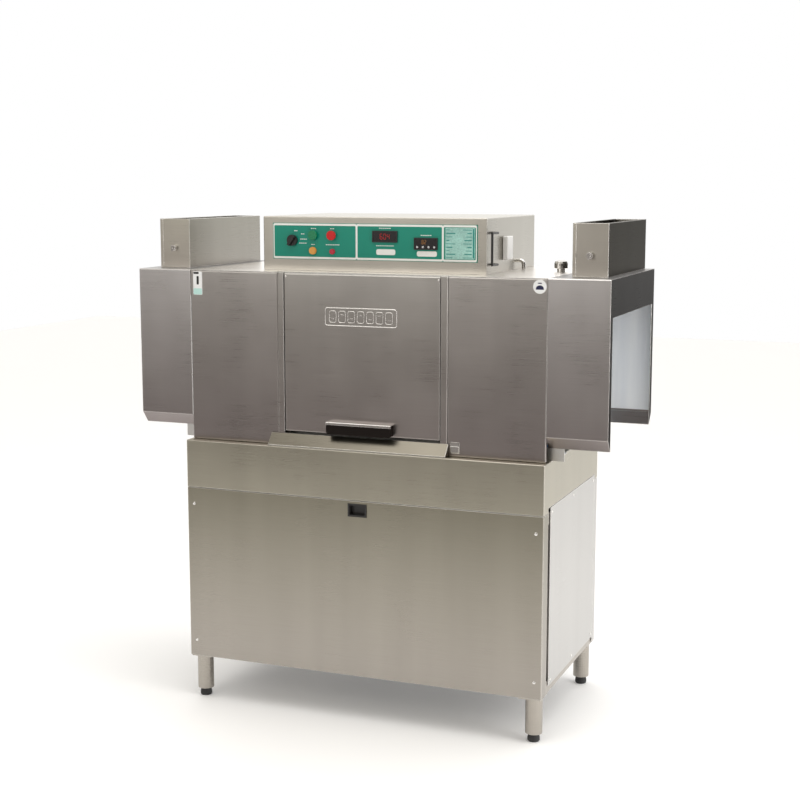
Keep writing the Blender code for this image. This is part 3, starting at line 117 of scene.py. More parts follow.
def blend_colours(tree, factor, a, b):
    made = add(tree, "ShaderNodeMix", {"Factor": factor}, data_type="RGBA")
    for key, colour in ((6, a), (7, b)):
        if isinstance(colour, bpy.types.NodeSocket):
            tree.links.new(colour, made.inputs[key])
        else:
            made.inputs[key].default_value = (*colour, 1.0)
    return made.outputs[2]


def noise(tree, vector, scale, detail=2.0):
    values = {"Vector": vector, "Scale": scale, "Detail": detail}
    return add(tree, "ShaderNodeTexNoise", values).outputs["Fac"]


print("node helpers ready")

# %% [markdown]
# ## Light and floor
# Steel has hardly any colour of its own: it shows what stands around it. Behind and to the right the studio is
# white, so the ends of the machine shine. In front it is a dim, warm room, and that makes the fronts grey.
# The world holds this as a sky that changes with direction, and the camera itself sees plain white.

# %% Light the studio
ROOM_DIM = (0.230, 0.205, 0.190)
ROOM_WARM = (0.560, 0.530, 0.480)
STUDIO_WHITE = (1.250, 1.235, 1.210)
world = bpy.data.worlds.new("studio")
bpy.context.scene.world = world
world.use_nodes = True
sky = world.node_tree
sky.nodes.clear()
direction = add(sky, "ShaderNodeTexCoord").outputs["Generated"]
across = add(sky, "ShaderNodeSeparateXYZ", {0: direction})
front_room = blend_colours(sky, ramp_range(sky, across.outputs["Z"], -0.12, 0.35), ROOM_DIM, ROOM_WARM)
toward_back = calc(sky, "ADD", across.outputs["Y"], calc(sky, "MULTIPLY", across.outputs["X"], 0.55))
room = blend_colours(sky, ramp_range(sky, toward_back, -0.45, 0.25), front_room, STUDIO_WHITE)
seen = add(sky, "ShaderNodeLightPath").outputs["Is Camera Ray"]
shown = blend_colours(sky, seen, room, (1.0, 1.0, 1.0))
background = add(sky, "ShaderNodeBackground", {"Color": shown, "Strength": 1.0})
add(sky, "ShaderNodeOutputWorld", {"Surface": background.outputs[0]})
bpy.context.scene.view_settings.view_transform = "Standard"


def softbox(name, place, target, size, power, tint=(1.0, 0.98, 0.95)):
    lamp = bpy.data.lights.new(name, "AREA")
    lamp.shape = "RECTANGLE"
    lamp.size, lamp.size_y = size
    lamp.energy = power
    lamp.color = tint
    made = bpy.data.objects.new(name, lamp)
    made.location = place
    made.rotation_euler = (Vector(target) - Vector(place)).to_track_quat("-Z", "Y").to_euler()
    bpy.context.scene.collection.objects.link(made)
    return made


softbox("overhead box", (0.3, -0.6, 4.2), (0, 0, 0.8), (4.0, 3.0), 55)
softbox("right hand box", (4.2, -0.6, 1.8), (0, 0, 0.9), (2.4, 2.6), 45)
softbox("front fill", (-1.8, -4.6, 2.6), (0, 0, 0.8), (2.6, 2.0), 26)

floor_mesh = bpy.data.meshes.new("floor")
FLOOR = [(-9, -3.4, 0), (9, -3.4, 0), (9, 12, 0), (-9, 12, 0)]
floor_mesh.from_pydata(FLOOR, [], [(0, 1, 2, 3)])
floor = bpy.data.objects.new("floor", floor_mesh)
bpy.context.scene.collection.objects.link(floor)
paint = bpy.data.materials.new("pale floor")
paint.use_nodes = True
tree = paint.node_tree
patches = noise(tree, add(tree, "ShaderNodeTexCoord").outputs["Object"], 1.5)
shader = tree.nodes["Principled BSDF"]
paint_tint = blend_colours(tree, patches, (0.96, 0.96, 0.96), (0.985, 0.985, 0.985))
tree.links.new(paint_tint, shader.inputs["Base Color"])
shader.inputs["Roughness"].default_value = 0.7
shader.inputs["Specular IOR Level"].default_value = 0.2
shader.inputs["Emission Color"].default_value = (1.0, 1.0, 1.0, 1.0)
shader.inputs["Emission Strength"].default_value = 0.08
floor_mesh.materials.append(paint)

# %% [markdown]
# ## Brushed steel
# Sheet for kitchen machines is rubbed with a belt, which leaves hair-fine scratches along its length. They
# spread each reflection across the scratches, into soft streaks; here the streaks are painted into the colour,
# a painted reflection over the fine grain. A picture of scratches would stretch on every panel, so noise is
# squeezed instead: slow along the grain and fast across it. The same group finds upright and level faces by
# their normal and turns the grain with them, and paints shade and light on faces turned to the ends and light on
# tops. A bevel node rounds the look of the folded edges, so that they catch the light as a real 3 mm bend does,
# and a painted highlight makes the colour paler along those edges.


# %% The group that every metal shares
def new_group(name, inputs, outputs):
    group = bpy.data.node_groups.new(name, "ShaderNodeTree")
    kinds = {"colour": "NodeSocketColor", "value": "NodeSocketFloat", "normal": "NodeSocketVector"}
    for label, kind in inputs:
        group.interface.new_socket(label, in_out="INPUT", socket_type=kinds[kind])
    for label, kind in outputs:
        group.interface.new_socket(label, in_out="OUTPUT", socket_type=kinds[kind])
    return group, add(group, "NodeGroupInput").outputs, add(group, "NodeGroupOutput").inputs


# The pale colour of the painted highlight along folded edges.
PAINTED_EDGE_HIGHLIGHT = (0.92, 0.90, 0.87)


def make_brushed_group():
    inputs = [("Colour", "colour"), ("Roughness", "value"), ("Streaks", "value"), ("Bend radius", "value"),
              ("Painted end shading", "value"), ("Painted top light", "value")]
    outputs = [("Colour", "colour"), ("Roughness", "value"), ("Grain", "value"), ("Bent normal", "normal")]
    group, given, out = new_group("brushed metal", inputs, outputs)
    place = add(group, "ShaderNodeTexCoord").outputs["Object"]
    xyz = add(group, "ShaderNodeSeparateXYZ", {0: place}).outputs
    flat = add(group, "ShaderNodeNewGeometry").outputs["True Normal"]
    facing = add(group, "ShaderNodeSeparateXYZ", {0: flat})
    level = calc(group, "GREATER_THAN", calc(group, "ABSOLUTE", facing.outputs["Z"]), 0.7)
    upright = calc(group, "SUBTRACT", 1.0, level)
    along = calc(group, "ADD", xyz["X"], calc(group, "MULTIPLY", xyz["Y"], upright))
    up = calc(group, "MULTIPLY", xyz["Z"], upright)
    over = calc(group, "ADD", up, calc(group, "MULTIPLY", xyz["Y"], level))
    hair = add(group, "ShaderNodeCombineXYZ", {"X": calc(group, "MULTIPLY", along, 6.0)})
    group.links.new(calc(group, "MULTIPLY", over, 700.0), hair.inputs["Y"])
    fine = noise(group, hair.outputs[0], 1.0, 3.0)
    band = add(group, "ShaderNodeCombineXYZ", {"X": calc(group, "MULTIPLY", along, 9.0)})
    group.links.new(calc(group, "MULTIPLY", over, 0.5), band.inputs["Y"])
    soft = noise(group, band.outputs[0], 1.0, 2.0)
    smudge = noise(group, place, 5.0, 3.0)
    lift = calc(group, "MULTIPLY", calc(group, "SUBTRACT", soft, 0.5), given["Streaks"])
    lift = calc(group, "ADD", lift, calc(group, "MULTIPLY", calc(group, "SUBTRACT", fine, 0.5), 0.16))
    lift = calc(group, "ADD", lift, calc(group, "MULTIPLY", calc(group, "SUBTRACT", smudge, 0.5), 0.10))
    # Painted shade and light: the colour of faces turned to the ends of the machine is scaled by the painted end
    # shading, and of faces turned up by the painted top light.
    painted_end_mask = ramp_range(group, calc(group, "ABSOLUTE", facing.outputs["X"]), 0.6, 0.8)
    change = calc(group, "SUBTRACT", given["Painted end shading"], 1.0)
    share = calc(group, "ADD", 1.0, calc(group, "MULTIPLY", painted_end_mask, change))
    painted_top_mask = calc(group, "GREATER_THAN", facing.outputs["Z"], 0.7)
    change = calc(group, "SUBTRACT", given["Painted top light"], 1.0)
    top = calc(group, "ADD", 1.0, calc(group, "MULTIPLY", painted_top_mask, change))
    scale = add(group, "ShaderNodeVectorMath", {0: given["Colour"]}, operation="SCALE")
    lit = calc(group, "MULTIPLY", calc(group, "MULTIPLY", share, top), calc(group, "ADD", lift, 1.0))
    group.links.new(lit, scale.inputs["Scale"])
    # Painted highlight: where the bevel normal turns from the flat normal, along folded edges, the colour is
    # blended towards a pale tint.
    bend = add(group, "ShaderNodeBevel", {"Radius": given["Bend radius"]}, samples=4).outputs[0]
    turned = add(group, "ShaderNodeVectorMath", {0: bend, 1: flat}, operation="DOT_PRODUCT").outputs["Value"]
    edge_highlight_mask = calc(group, "MULTIPLY", ramp_range(group, calc(group, "SUBTRACT", 1.0, turned), 0.004, 0.06), 0.75)
    group.links.new(blend_colours(group, edge_highlight_mask, scale.outputs[0], PAINTED_EDGE_HIGHLIGHT), out["Colour"])
    uneven = calc(group, "MULTIPLY", calc(group, "SUBTRACT", smudge, 0.5), 0.10)
    uneven = calc(group, "ADD", uneven, calc(group, "MULTIPLY", calc(group, "SUBTRACT", fine, 0.5), 0.12))
    group.links.new(calc(group, "ADD", given["Roughness"], uneven), out["Roughness"])
    group.links.new(fine, out["Grain"])
    group.links.new(bend, out["Bent normal"])
    return group


brushed_group = make_brushed_group()
print("group made:", brushed_group.name, len(brushed_group.nodes), "nodes")

# %% [markdown]
# ## The metals
# The same sheet looks different from panel to panel, and that is painted into the colours here. The cover and
# the band below the deck are painted warm and, on the cover, paler towards the floor: a painted reflection of the
# warm floor light. The hood is painted darker towards the deck and paler at the top, as painted shade and light,
# and turned parts are polished. So each metal has a colour for its lower and its upper end, and both go through
# the group.


# %% Mix the metals
def new_material(name):
    made = bpy.data.materials.new(name)
    made.use_nodes = True
    return made, made.node_tree, made.node_tree.nodes["Principled BSDF"]


def metal(name, lower, upper, span=(0.15, 0.90), roughness=0.30, streaks=0.20, bend=0.0028, grain=0.25,
          end=1.0, top=1.0, graze=1.0):
    """Steel that changes from one colour to another over a span of height, a change painted in as shade and light.
    End and top are the painted shade and light: the shares of its colour on faces turned to the ends of the
    machine and upwards. Graze is its tint seen edge-on, kept low on the shroud and exit cowl metals as painted
    shade."""
    made, tree, shader = new_material(name)
    place = add(tree, "ShaderNodeTexCoord").outputs["Object"]
    height = add(tree, "ShaderNodeSeparateXYZ", {0: place}).outputs["Z"]
    # Painted shade and light: the colour is blended by height from the lower to the upper colour.
    tint = blend_colours(tree, ramp_range(tree, height, *span), lower, upper)
    values = {"Colour": tint, "Roughness": roughness, "Streaks": streaks, "Bend radius": bend}
    group = add(tree, "ShaderNodeGroup", node_tree=brushed_group)
    for key, value in {**values, "Painted end shading": end, "Painted top light": top}.items():
        if key == "Colour":
            tree.links.new(value, group.inputs[key])
        else:
            group.inputs[key].default_value = value
    tree.links.new(group.outputs["Colour"], shader.inputs["Base Color"])
    tree.links.new(group.outputs["Roughness"], shader.inputs["Roughness"])
    values = {"Height": group.outputs["Grain"], "Normal": group.outputs["Bent normal"]}
    bump = add(tree, "ShaderNodeBump", {**values, "Strength": grain, "Distance": 0.0002})
    tree.links.new(bump.outputs[0], shader.inputs["Normal"])
    shader.inputs["Metallic"].default_value = 1.0
    shader.inputs["Specular Tint"].default_value = (graze, graze, graze, 1.0)
    return made


# Painted shade and light: lower and upper colours by height, and end and top shares on end faces and tops.
HOOD = (0.95, 1.45)
BOX = (1.47, 1.65)
cover_steel = metal("cover steel", (0.365, 0.338, 0.305), (0.268, 0.250, 0.198), span=(0.20, 0.74))
band_steel = metal("band steel", (0.385, 0.360, 0.298), (0.375, 0.352, 0.290), end=1.1, top=1.6)
sill_steel = metal("sill steel", (0.270, 0.250, 0.208), (0.270, 0.250, 0.208))
leg_steel = metal("leg steel", (0.420, 0.390, 0.350), (0.400, 0.370, 0.330), bend=0.001)
side_steel = metal("side sheet steel", (0.520, 0.512, 0.500), (0.545, 0.538, 0.525), streaks=0.12)
hood_steel = metal("hood steel", (0.290, 0.258, 0.250), (0.520, 0.500, 0.480), span=HOOD, top=1.8)
door_steel = metal("door steel", (0.305, 0.272, 0.262), (0.480, 0.465, 0.440), span=HOOD)
shroud_steel = metal("shroud steel", (0.290, 0.258, 0.252), (0.690, 0.675, 0.670), span=HOOD, end=0.13,
                     top=1.35, graze=0.35)
box_steel = metal("control box steel", (0.560, 0.535, 0.480), (0.500, 0.480, 0.425), span=BOX, end=0.72)
cowl_entry_steel = metal("entry cowl steel", (0.60, 0.565, 0.51), (0.55, 0.53, 0.46), span=BOX, end=0.52)
cowl_exit_steel = metal("exit cowl steel", (0.56, 0.53, 0.48), (0.50, 0.48, 0.43), span=BOX, end=0.17,
                        graze=0.35)
inner_steel = metal("inner steel", (0.62, 0.61, 0.59), (0.64, 0.63, 0.61), roughness=0.34, bend=0.0012)
bright_steel = metal("polished steel", (0.74, 0.73, 0.71), (0.74, 0.73, 0.71), roughness=0.16, streaks=0.08,
                     bend=0.0010, grain=0.08)
zinc = metal("zinc sheet", (0.48, 0.49, 0.50), (0.48, 0.49, 0.50), roughness=0.48, streaks=0.30, bend=0.0006)
print("metals:", [m.name for m in bpy.data.materials if "steel" in m.name or "zinc" in m.name])

# %% [markdown]
# ## Plastics, enamel and vinyl
# Moulded plastic is never one flat colour: its gloss changes with a fine orange-peel skin, and handling dulls
# the edges. A second group gives this skin, with a speckle for paint and castings, to everything that isn't metal.


# %% Mix the plastics
def make_skin_group():
    inputs = [("Colour", "colour"), ("Roughness", "value"), ("Speckle size", "value"), ("Variation", "value")]
    outputs = [("Colour", "colour"), ("Roughness", "value"), ("Skin", "value")]
    group, given, out = new_group("moulded skin", inputs, outputs)
    place = add(group, "ShaderNodeTexCoord").outputs["Object"]
    skin = add(group, "ShaderNodeTexNoise", {"Vector": place, "Detail": 3.0, "Scale": given["Speckle size"]})
    wide = noise(group, place, 14.0)
    lift = calc(group, "MULTIPLY", calc(group, "SUBTRACT", skin.outputs["Fac"], 0.5), given["Variation"])
    swell = calc(group, "MULTIPLY", calc(group, "SUBTRACT", wide, 0.5), given["Variation"])
    lift = calc(group, "ADD", lift, swell)
    scale = add(group, "ShaderNodeVectorMath", {0: given["Colour"]}, operation="SCALE")
    group.links.new(calc(group, "ADD", lift, 1.0), scale.inputs["Scale"])
    group.links.new(scale.outputs[0], out["Colour"])
    uneven = calc(group, "MULTIPLY", calc(group, "SUBTRACT", wide, 0.5), 0.16)
    group.links.new(calc(group, "ADD", given["Roughness"], uneven), out["Roughness"])
    group.links.new(skin.outputs["Fac"], out["Skin"])
    return group


skin_group = make_skin_group()


def plastic(name, colour, roughness=0.4, speckle=900.0, variation=0.15, bump=0.15, glow=0.0):
    made, tree, shader = new_material(name)
    group = add(tree, "ShaderNodeGroup", node_tree=skin_group)
    group.inputs["Colour"].default_value = (*colour, 1.0)
    group.inputs["Roughness"].default_value = roughness
    group.inputs["Speckle size"].default_value = speckle
    group.inputs["Variation"].default_value = variation
    tree.links.new(group.outputs["Colour"], shader.inputs["Base Color"])
    tree.links.new(group.outputs["Roughness"], shader.inputs["Roughness"])
    skin = add(tree, "ShaderNodeBump", {"Height": group.outputs["Skin"], "Strength": bump, "Distance": 0.0002})
    tree.links.new(skin.outputs[0], shader.inputs["Normal"])
    if glow:
        tree.links.new(group.outputs["Colour"], shader.inputs["Emission Color"])
        shader.inputs["Emission Strength"].default_value = glow
    return made


black = plastic("black plastic", (0.014, 0.013, 0.013), 0.38)
grip_brown = plastic("grip plastic", (0.0075, 0.0045, 0.0035), 0.55)
grip_brown.node_tree.nodes["Principled BSDF"].inputs["Specular IOR Level"].default_value = 0.12
foot_black = plastic("black rubber foot", (0.020, 0.020, 0.021), 0.6, variation=0.4)
screen_black = plastic("instrument black", (0.010, 0.009, 0.010), 0.22, bump=0.05)
green_film = plastic("green overlay", (0.0, 0.245, 0.170), 0.34, 420.0, 0.10, 0.10)
white_print = plastic("white print", (0.86, 0.87, 0.84), 0.42, bump=0.05)
white_moulding = plastic("white moulding", (0.88, 0.88, 0.87), 0.36, bump=0.08)
button_green = plastic("green button", (0.010, 0.200, 0.085), 0.25, bump=0.06)
button_red = plastic("red button", (0.560, 0.012, 0.012), 0.24, bump=0.06)
lens_amber = plastic("amber lens", (0.620, 0.300, 0.070), 0.22, bump=0.06, glow=0.15)
lens_red = plastic("red lens", (0.420, 0.030, 0.050), 0.22, bump=0.06, glow=0.08)
digit_red = plastic("dim red digits", (0.300, 0.006, 0.006), 0.4, glow=0.55)
digit_amber = plastic("dim amber digits", (0.260, 0.110, 0.020), 0.4, glow=0.45)
key_grey = plastic("key grey", (0.560, 0.570, 0.580), 0.35)
chart_pale = plastic("pale chart", (0.350, 0.620, 0.560), 0.45, 260.0, 0.9, 0.05)
chart_teal = plastic("teal chart lines", (0.010, 0.250, 0.220), 0.45)
label_white = plastic("label paper", (0.850, 0.860, 0.860), 0.45, bump=0.05)
label_mint = plastic("mint label foot", (0.500, 0.760, 0.710), 0.45, bump=0.05)
label_navy = plastic("navy mark", (0.012, 0.014, 0.060), 0.40, bump=0.05)
track_blue = plastic("blue wear strip", (0.045, 0.130, 0.270), 0.38)
enamel = plastic("pump enamel", (0.070, 0.090, 0.115), 0.45, 300.0, 0.35, 0.5)
drain_red = plastic("red lever grip", (0.480, 0.020, 0.018), 0.35)
print("materials so far:", len(bpy.data.materials))

# %% [markdown]
# ## Giving each solid its finish
# A table from finish to solids keeps this in one place. A solid's mesh stays as it is: only the material in its
# slot changes. The last line prints any solid that was left out.

# %% Put the materials on the solids
FINISHES = {
    cover_steel: "front_panel",
    band_steel: "tank_band",
    sill_steel: "drip_sill",
    leg_steel: "cabinet_frame",
    side_steel: "side_panel_left side_panel_right rear_panel",
    hood_steel: "hood_front_left hood_front_right hood_rear hood_roof",
    door_steel: "door_panel door_frame",
    shroud_steel: "entry_shroud exit_shroud",
    box_steel: "control_box",
    cowl_entry_steel: "vent_cowl_left",
    cowl_exit_steel: "vent_cowl_right",
    inner_steel: "wash_tank rack_track pawl_carriage wash_manifold scrap_tray pump_impeller",
    bright_steel: "handle_lip damper_knob_left damper_knob_right vacuum_breaker pawl_1 pawl_2 pawl_3"
                  " drive_crank rinse_manifold overflow_standpipe drain_valve tank_heater",
    zinc: "damper_blade_left damper_blade_right",
    black: "panel_pull selector_knob side_handle motor_fan",
    grip_brown: "door_handle",
    foot_black: "foot_front_left foot_front_right foot_rear_left foot_rear_right",
    screen_black: "temperature_display rinse_controller",
    green_film: "control_fascia",
    button_green: "start_button",
    button_red: "stop_button",
    lens_amber: "power_lamp",
    lens_red: "fault_lamp",
    drain_red: "drain_lever",
    white_moulding: "side_cover",
    enamel: "wash_pump drive_gearmotor",
}
dressed = set()
for stuff, names in FINISHES.items():
    for name in names.split():
        nodes[name].data.materials.clear()
        nodes[name].data.materials.append(stuff)
        dressed.add(name)
left = sorted(set(nodes) - dressed - {"entry_curtain", "exit_curtain"})
print("dressed", len(dressed), "solids, left out:", left)

# %% [markdown]
# ## Thin plates and rings
# Print, labels and lap joints are flat shapes with a small thickness. Each is drawn as an outline in the plane
# it lies in and given two faces and a rim, which is closed on every side. A matrix turns the drawing plane to
# face the front of the machine or one of its ends.

# %% Helpers for flat pieces
FRONT_FACING = Matrix(((1, 0, 0, 0), (0, 0, -1, 0), (0, 1, 0, 0), (0, 0, 0, 1)))


def rounded(u, v, radius, steps=5):
    """The outline of a rounded rectangle, anticlockwise."""
    points = []
    corners = [(u[1], v[0], -90), (u[1], v[1], 0), (u[0], v[1], 90), (u[0], v[0], 180)]
    for cu, cv, start in corners:
        mid_u = cu + (radius if cu == u[0] else -radius)
        mid_v = cv + (radius if cv == v[0] else -radius)
        for step in range(steps + 1):
            angle = math.radians(start + 90 * step / steps)
            points.append((mid_u + radius * math.cos(angle), mid_v + radius * math.sin(angle)))
    return points


def disc(u, v, radius, steps=28):
    turn = 2 * math.pi / steps
    return [(u + radius * math.cos(turn * i), v + radius * math.sin(turn * i)) for i in range(steps)]


def plate(bm, outline, bottom, top, hole=None):
    """A flat plate from one height to another over its drawing plane, with at most one hole."""
    rings = []
    for height in (bottom, top):
        rings.append([bm.verts.new((u, v, height)) for u, v in outline])
        if hole:
            rings[-1] = (rings[-1], [bm.verts.new((u, v, height)) for u, v in hole])
    count = len(outline)
    pairs = [(i, (i + 1) % count) for i in range(count)]
    if not hole:
        below, above = rings
        bm.faces.new(below[::-1])
        bm.faces.new(above)
        for i, j in pairs:
            bm.faces.new((below[i], below[j], above[j], above[i]))
        return
    (low_out, low_in), (high_out, high_in) = rings
    for i, j in pairs:
        bm.faces.new((low_out[i], low_out[j], high_out[j], high_out[i]))
        bm.faces.new((low_in[j], low_in[i], high_in[i], high_in[j]))
        bm.faces.new((high_out[i], high_out[j], high_in[j], high_in[i]))
        bm.faces.new((low_out[j], low_out[i], low_in[i], low_in[j]))


def finished(name, mesh, stuff, body):
    """A piece at the origin, in its material, riding on a body."""
    made = bpy.data.objects.new(name, mesh)
    bpy.context.scene.collection.objects.link(made)
    mesh.materials.clear()
    mesh.materials.append(stuff)
    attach(made, body)
    return made


def flat_piece(name, draw, facing, offset, stuff, body="machine"):
    """Runs the drawing on an empty mesh, then turns it to face its way at the offset."""
    bm = bmesh.new()
    draw(bm)
    bm.transform(Matrix.Translation(offset) @ facing)
    mesh = bpy.data.meshes.new(name)
    bm.to_mesh(mesh)
    bm.free()
    return finished(name, mesh, stuff, body)


print("rounded rectangle of", len(rounded((0, 1), (0, 1), 0.1)), "points")

# %% [markdown]
# ## Geometry Nodes for whatever repeats
# Screws, dashes and nozzles are one shape at many places. The places go into a small mesh of loose points, each
# with the way it faces and its size, and a tree puts a copy of the shape on every point. The first tree turns a
# head from a line whose radius follows a dome. The second stretches a block, and the third bends a wire into a
# rounded outline.


# %% Build the three trees
def new_tree(name, inputs):
    tree = bpy.data.node_groups.new(name, "GeometryNodeTree")
    tree.interface.new_socket("Geometry", in_out="INPUT", socket_type="NodeSocketGeometry")
    for label, kind in inputs:
        tree.interface.new_socket(label, in_out="INPUT", socket_type=kind)
    tree.interface.new_socket("Geometry", in_out="OUTPUT", socket_type="NodeSocketGeometry")
    return tree, add(tree, "NodeGroupInput").outputs


NUMBER = "NodeSocketFloat"
STUFF = "NodeSocketMaterial"


def copies(tree, given, shape, scale=None):
    """Puts the shape on every point, facing its own way, and finishes the tree."""
    facing = add(tree, "GeometryNodeInputNamedAttribute", {"Name": "facing"}, data_type="FLOAT_VECTOR")
    turned = add(tree, "FunctionNodeAlignRotationToVector", {"Vector": facing.outputs[0]}, axis="Z")
    values = {"Points": given["Geometry"], "Instance": shape, "Rotation": turned.outputs[0]}
    placed = add(tree, "GeometryNodeInstanceOnPoints", values)
    if scale is not None:
        tree.links.new(scale, placed.inputs["Scale"])
    real = add(tree, "GeometryNodeRealizeInstances", {0: placed.outputs[0]})
    values = {"Geometry": real.outputs[0], "Material": given["Material"]}
    stuffed = add(tree, "GeometryNodeSetMaterial", values)
    add(tree, "NodeGroupOutput", {0: stuffed.outputs[0]})
    return tree


def make_head_tree():
    """A turned head. Doming 1 is a round head, and 0 is a nozzle's cone."""
    inputs = [("Radius", NUMBER), ("Height", NUMBER), ("Doming", NUMBER), ("Material", STUFF)]
    tree, given = new_tree("turned heads", inputs)
    top = add(tree, "ShaderNodeCombineXYZ", {"Z": given["Height"]})
    line = add(tree, "GeometryNodeCurvePrimitiveLine", {"End": top.outputs[0]})
    steps = add(tree, "GeometryNodeResampleCurve", {"Curve": line.outputs[0], "Count": 7})
    share = add(tree, "GeometryNodeSplineParameter").outputs["Factor"]
    fall = calc(tree, "MULTIPLY", calc(tree, "POWER", share, 3.0), 0.97)
    dome = calc(tree, "SQRT", calc(tree, "SUBTRACT", 1.0, fall))
    cone = calc(tree, "SUBTRACT", 1.0, calc(tree, "MULTIPLY", share, 0.55))
    mixed = add(tree, "ShaderNodeMix", {"Factor": given["Doming"], 2: cone, 3: dome})
    radius = calc(tree, "MULTIPLY", mixed.outputs[0], given["Radius"])
    ring = add(tree, "GeometryNodeCurvePrimitiveCircle", {"Resolution": 14, "Radius": 1.0})
    values = {"Curve": steps.outputs[0], "Profile Curve": ring.outputs[0], "Scale": radius, "Fill Caps": True}
    return copies(tree, given, add(tree, "GeometryNodeCurveToMesh", values).outputs[0])


def make_block_tree():
    tree, given = new_tree("stretched blocks", [("Material", STUFF)])
    size = add(tree, "GeometryNodeInputNamedAttribute", {"Name": "size"}, data_type="FLOAT_VECTOR")
    cube = add(tree, "GeometryNodeMeshCube", {"Size": (1.0, 1.0, 1.0)})
    return copies(tree, given, cube.outputs[0], size.outputs[0])


def make_outline_tree():
    inputs = [("Width", NUMBER), ("Height", NUMBER), ("Corner", NUMBER), ("Wire", NUMBER), ("Material", STUFF)]
    tree, given = new_tree("wire outlines", inputs)
    size = {0: given["Width"], 1: given["Height"]}
    frame_curve = add(tree, "GeometryNodeCurvePrimitiveQuadrilateral", size)
    values = {"Curve": frame_curve.outputs[0], "Count": 4, "Radius": given["Corner"]}
    soft = add(tree, "GeometryNodeFilletCurve", values, mode="POLY")
    wire = add(tree, "GeometryNodeCurvePrimitiveCircle", {"Resolution": 8, "Radius": given["Wire"]})
    values = {"Curve": soft.outputs[0], "Profile Curve": wire.outputs[0]}
    return copies(tree, given, add(tree, "GeometryNodeCurveToMesh", values).outputs[0])


head_tree = make_head_tree()
block_tree = make_block_tree()
outline_tree = make_outline_tree()


def repeated(name, tree, points, facing, settings, stuff, body="machine",
             sizes=None):
    """Points with a facing, and a size each if the tree reads it, turned into one plain mesh by the tree."""
    seeds = bpy.data.meshes.new(name + " points")
    seeds.from_pydata([tuple(p) for p in points], [], [])
    ways = facing if isinstance(facing, list) else [facing] * len(points)
    for label, rows in (("facing", ways), ("size", sizes or [])):
        if rows:
            attribute = seeds.attributes.new(label, "FLOAT_VECTOR", "POINT")
            attribute.data.foreach_set("vector", [value for row in rows for value in row])
    holder = bpy.data.objects.new(name + " points", seeds)
    bpy.context.scene.collection.objects.link(holder)
    modifier = holder.modifiers.new("copies", "NODES")
    modifier.node_group = tree
    for item in tree.interface.items_tree:
        if item.item_type == "SOCKET" and item.in_out == "INPUT" and item.name != "Geometry":
            modifier[item.identifier] = stuff if item.name == "Material" else settings[item.name]
    bpy.context.view_layer.update()
    graph = bpy.context.evaluated_depsgraph_get()
    mesh = bpy.data.meshes.new_from_object(holder.evaluated_get(graph))
    bpy.data.objects.remove(holder, do_unlink=True)
    bm = bmesh.new()
    bm.from_mesh(mesh)
    bmesh.ops.remove_doubles(bm, verts=bm.verts, dist=1e-6)
    bmesh.ops.recalc_face_normals(bm, faces=bm.faces)
    bm.to_mesh(mesh)
    bm.free()
    mesh.name = name
    print(f"{name}: {len(points)} copies, {len(mesh.polygons)} faces")
    return finished(name, mesh, stuff, body)


# %% [markdown]
# ## Screws
# The cover is held by a screw near each corner, the end panels and the back by a row each, and the door has a
# small rivet in its top corners. They are all the same turned head in other sizes.

# %% Screws and rivets
TO_FRONT = (0.0, -1.0, 0.0)
TO_BACK = (0.0, 1.0, 0.0)
SCREW = {"Radius": 0.0055, "Height": 0.0022, "Doming": 1.0}
SMALL = {"Radius": 0.0032, "Height": 0.0014, "Doming": 1.0}
cover_low, cover_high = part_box("front_panel")
SCREW_IN = 0.025
SCREW_DOWN = 0.055
cover_x = (cover_low.x + SCREW_IN, cover_high.x - SCREW_IN)
cover_z = (cover_low.z + SCREW_DOWN, cover_high.z - SCREW_DOWN)
spots = [(x, cover_y, z) for x in cover_x for z in cover_z]
repeated("cover_screws", head_tree, spots, TO_FRONT, SCREW, bright_steel, "front_cover")

door_low, door_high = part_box("door_panel")
DOOR_EDGE = 0.026
spots = [(side * (door_high.x - DOOR_EDGE), door_y, door_high.z - 0.010) for side in (-1, 1)]
repeated("door_rivets", head_tree, spots, TO_FRONT, SMALL, bright_steel, "door")

spots, ways = [], []
for name, side in (("side_panel_left", -1), ("side_panel_right", 1)):
    start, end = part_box(name)
    for y in (start.y + 0.018, (start.y + end.y) / 2, end.y - 0.018):
        for z in (start.z + 0.016, end.z - 0.016):
            spots.append((end.x if side > 0 else start.x, y, z))
            ways.append((side, 0.0, 0.0))
repeated("side_panel_screws", head_tree, spots, ways, SCREW, bright_steel)

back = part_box("rear_panel")
panel_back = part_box("tank_band")[1].y
spots = [(x * 0.295, panel_back, z) for x in (-2, -1, 0, 1, 2) for z in (back[0].z + 0.03, back[1].z - 0.03)]
hood_back = high("hood_rear").y
spots += [(x * 0.195, hood_back, z) for x in range(-3, 4) for z in (low("hood_rear").z + 0.02, roof_z - 0.03)]
repeated("rear_screws", head_tree, spots, TO_BACK, SCREW, bright_steel)

# %% [markdown]
# ## The badge on the door
# A pressed badge stands in the upper half of the door: a rounded frame with a row of raised figures. Here the
# figures are a plain pattern of upright outlines, each with a bar in it. All are pressed out of the same sheet
# and stand only a millimetre proud; here they take the polished steel.

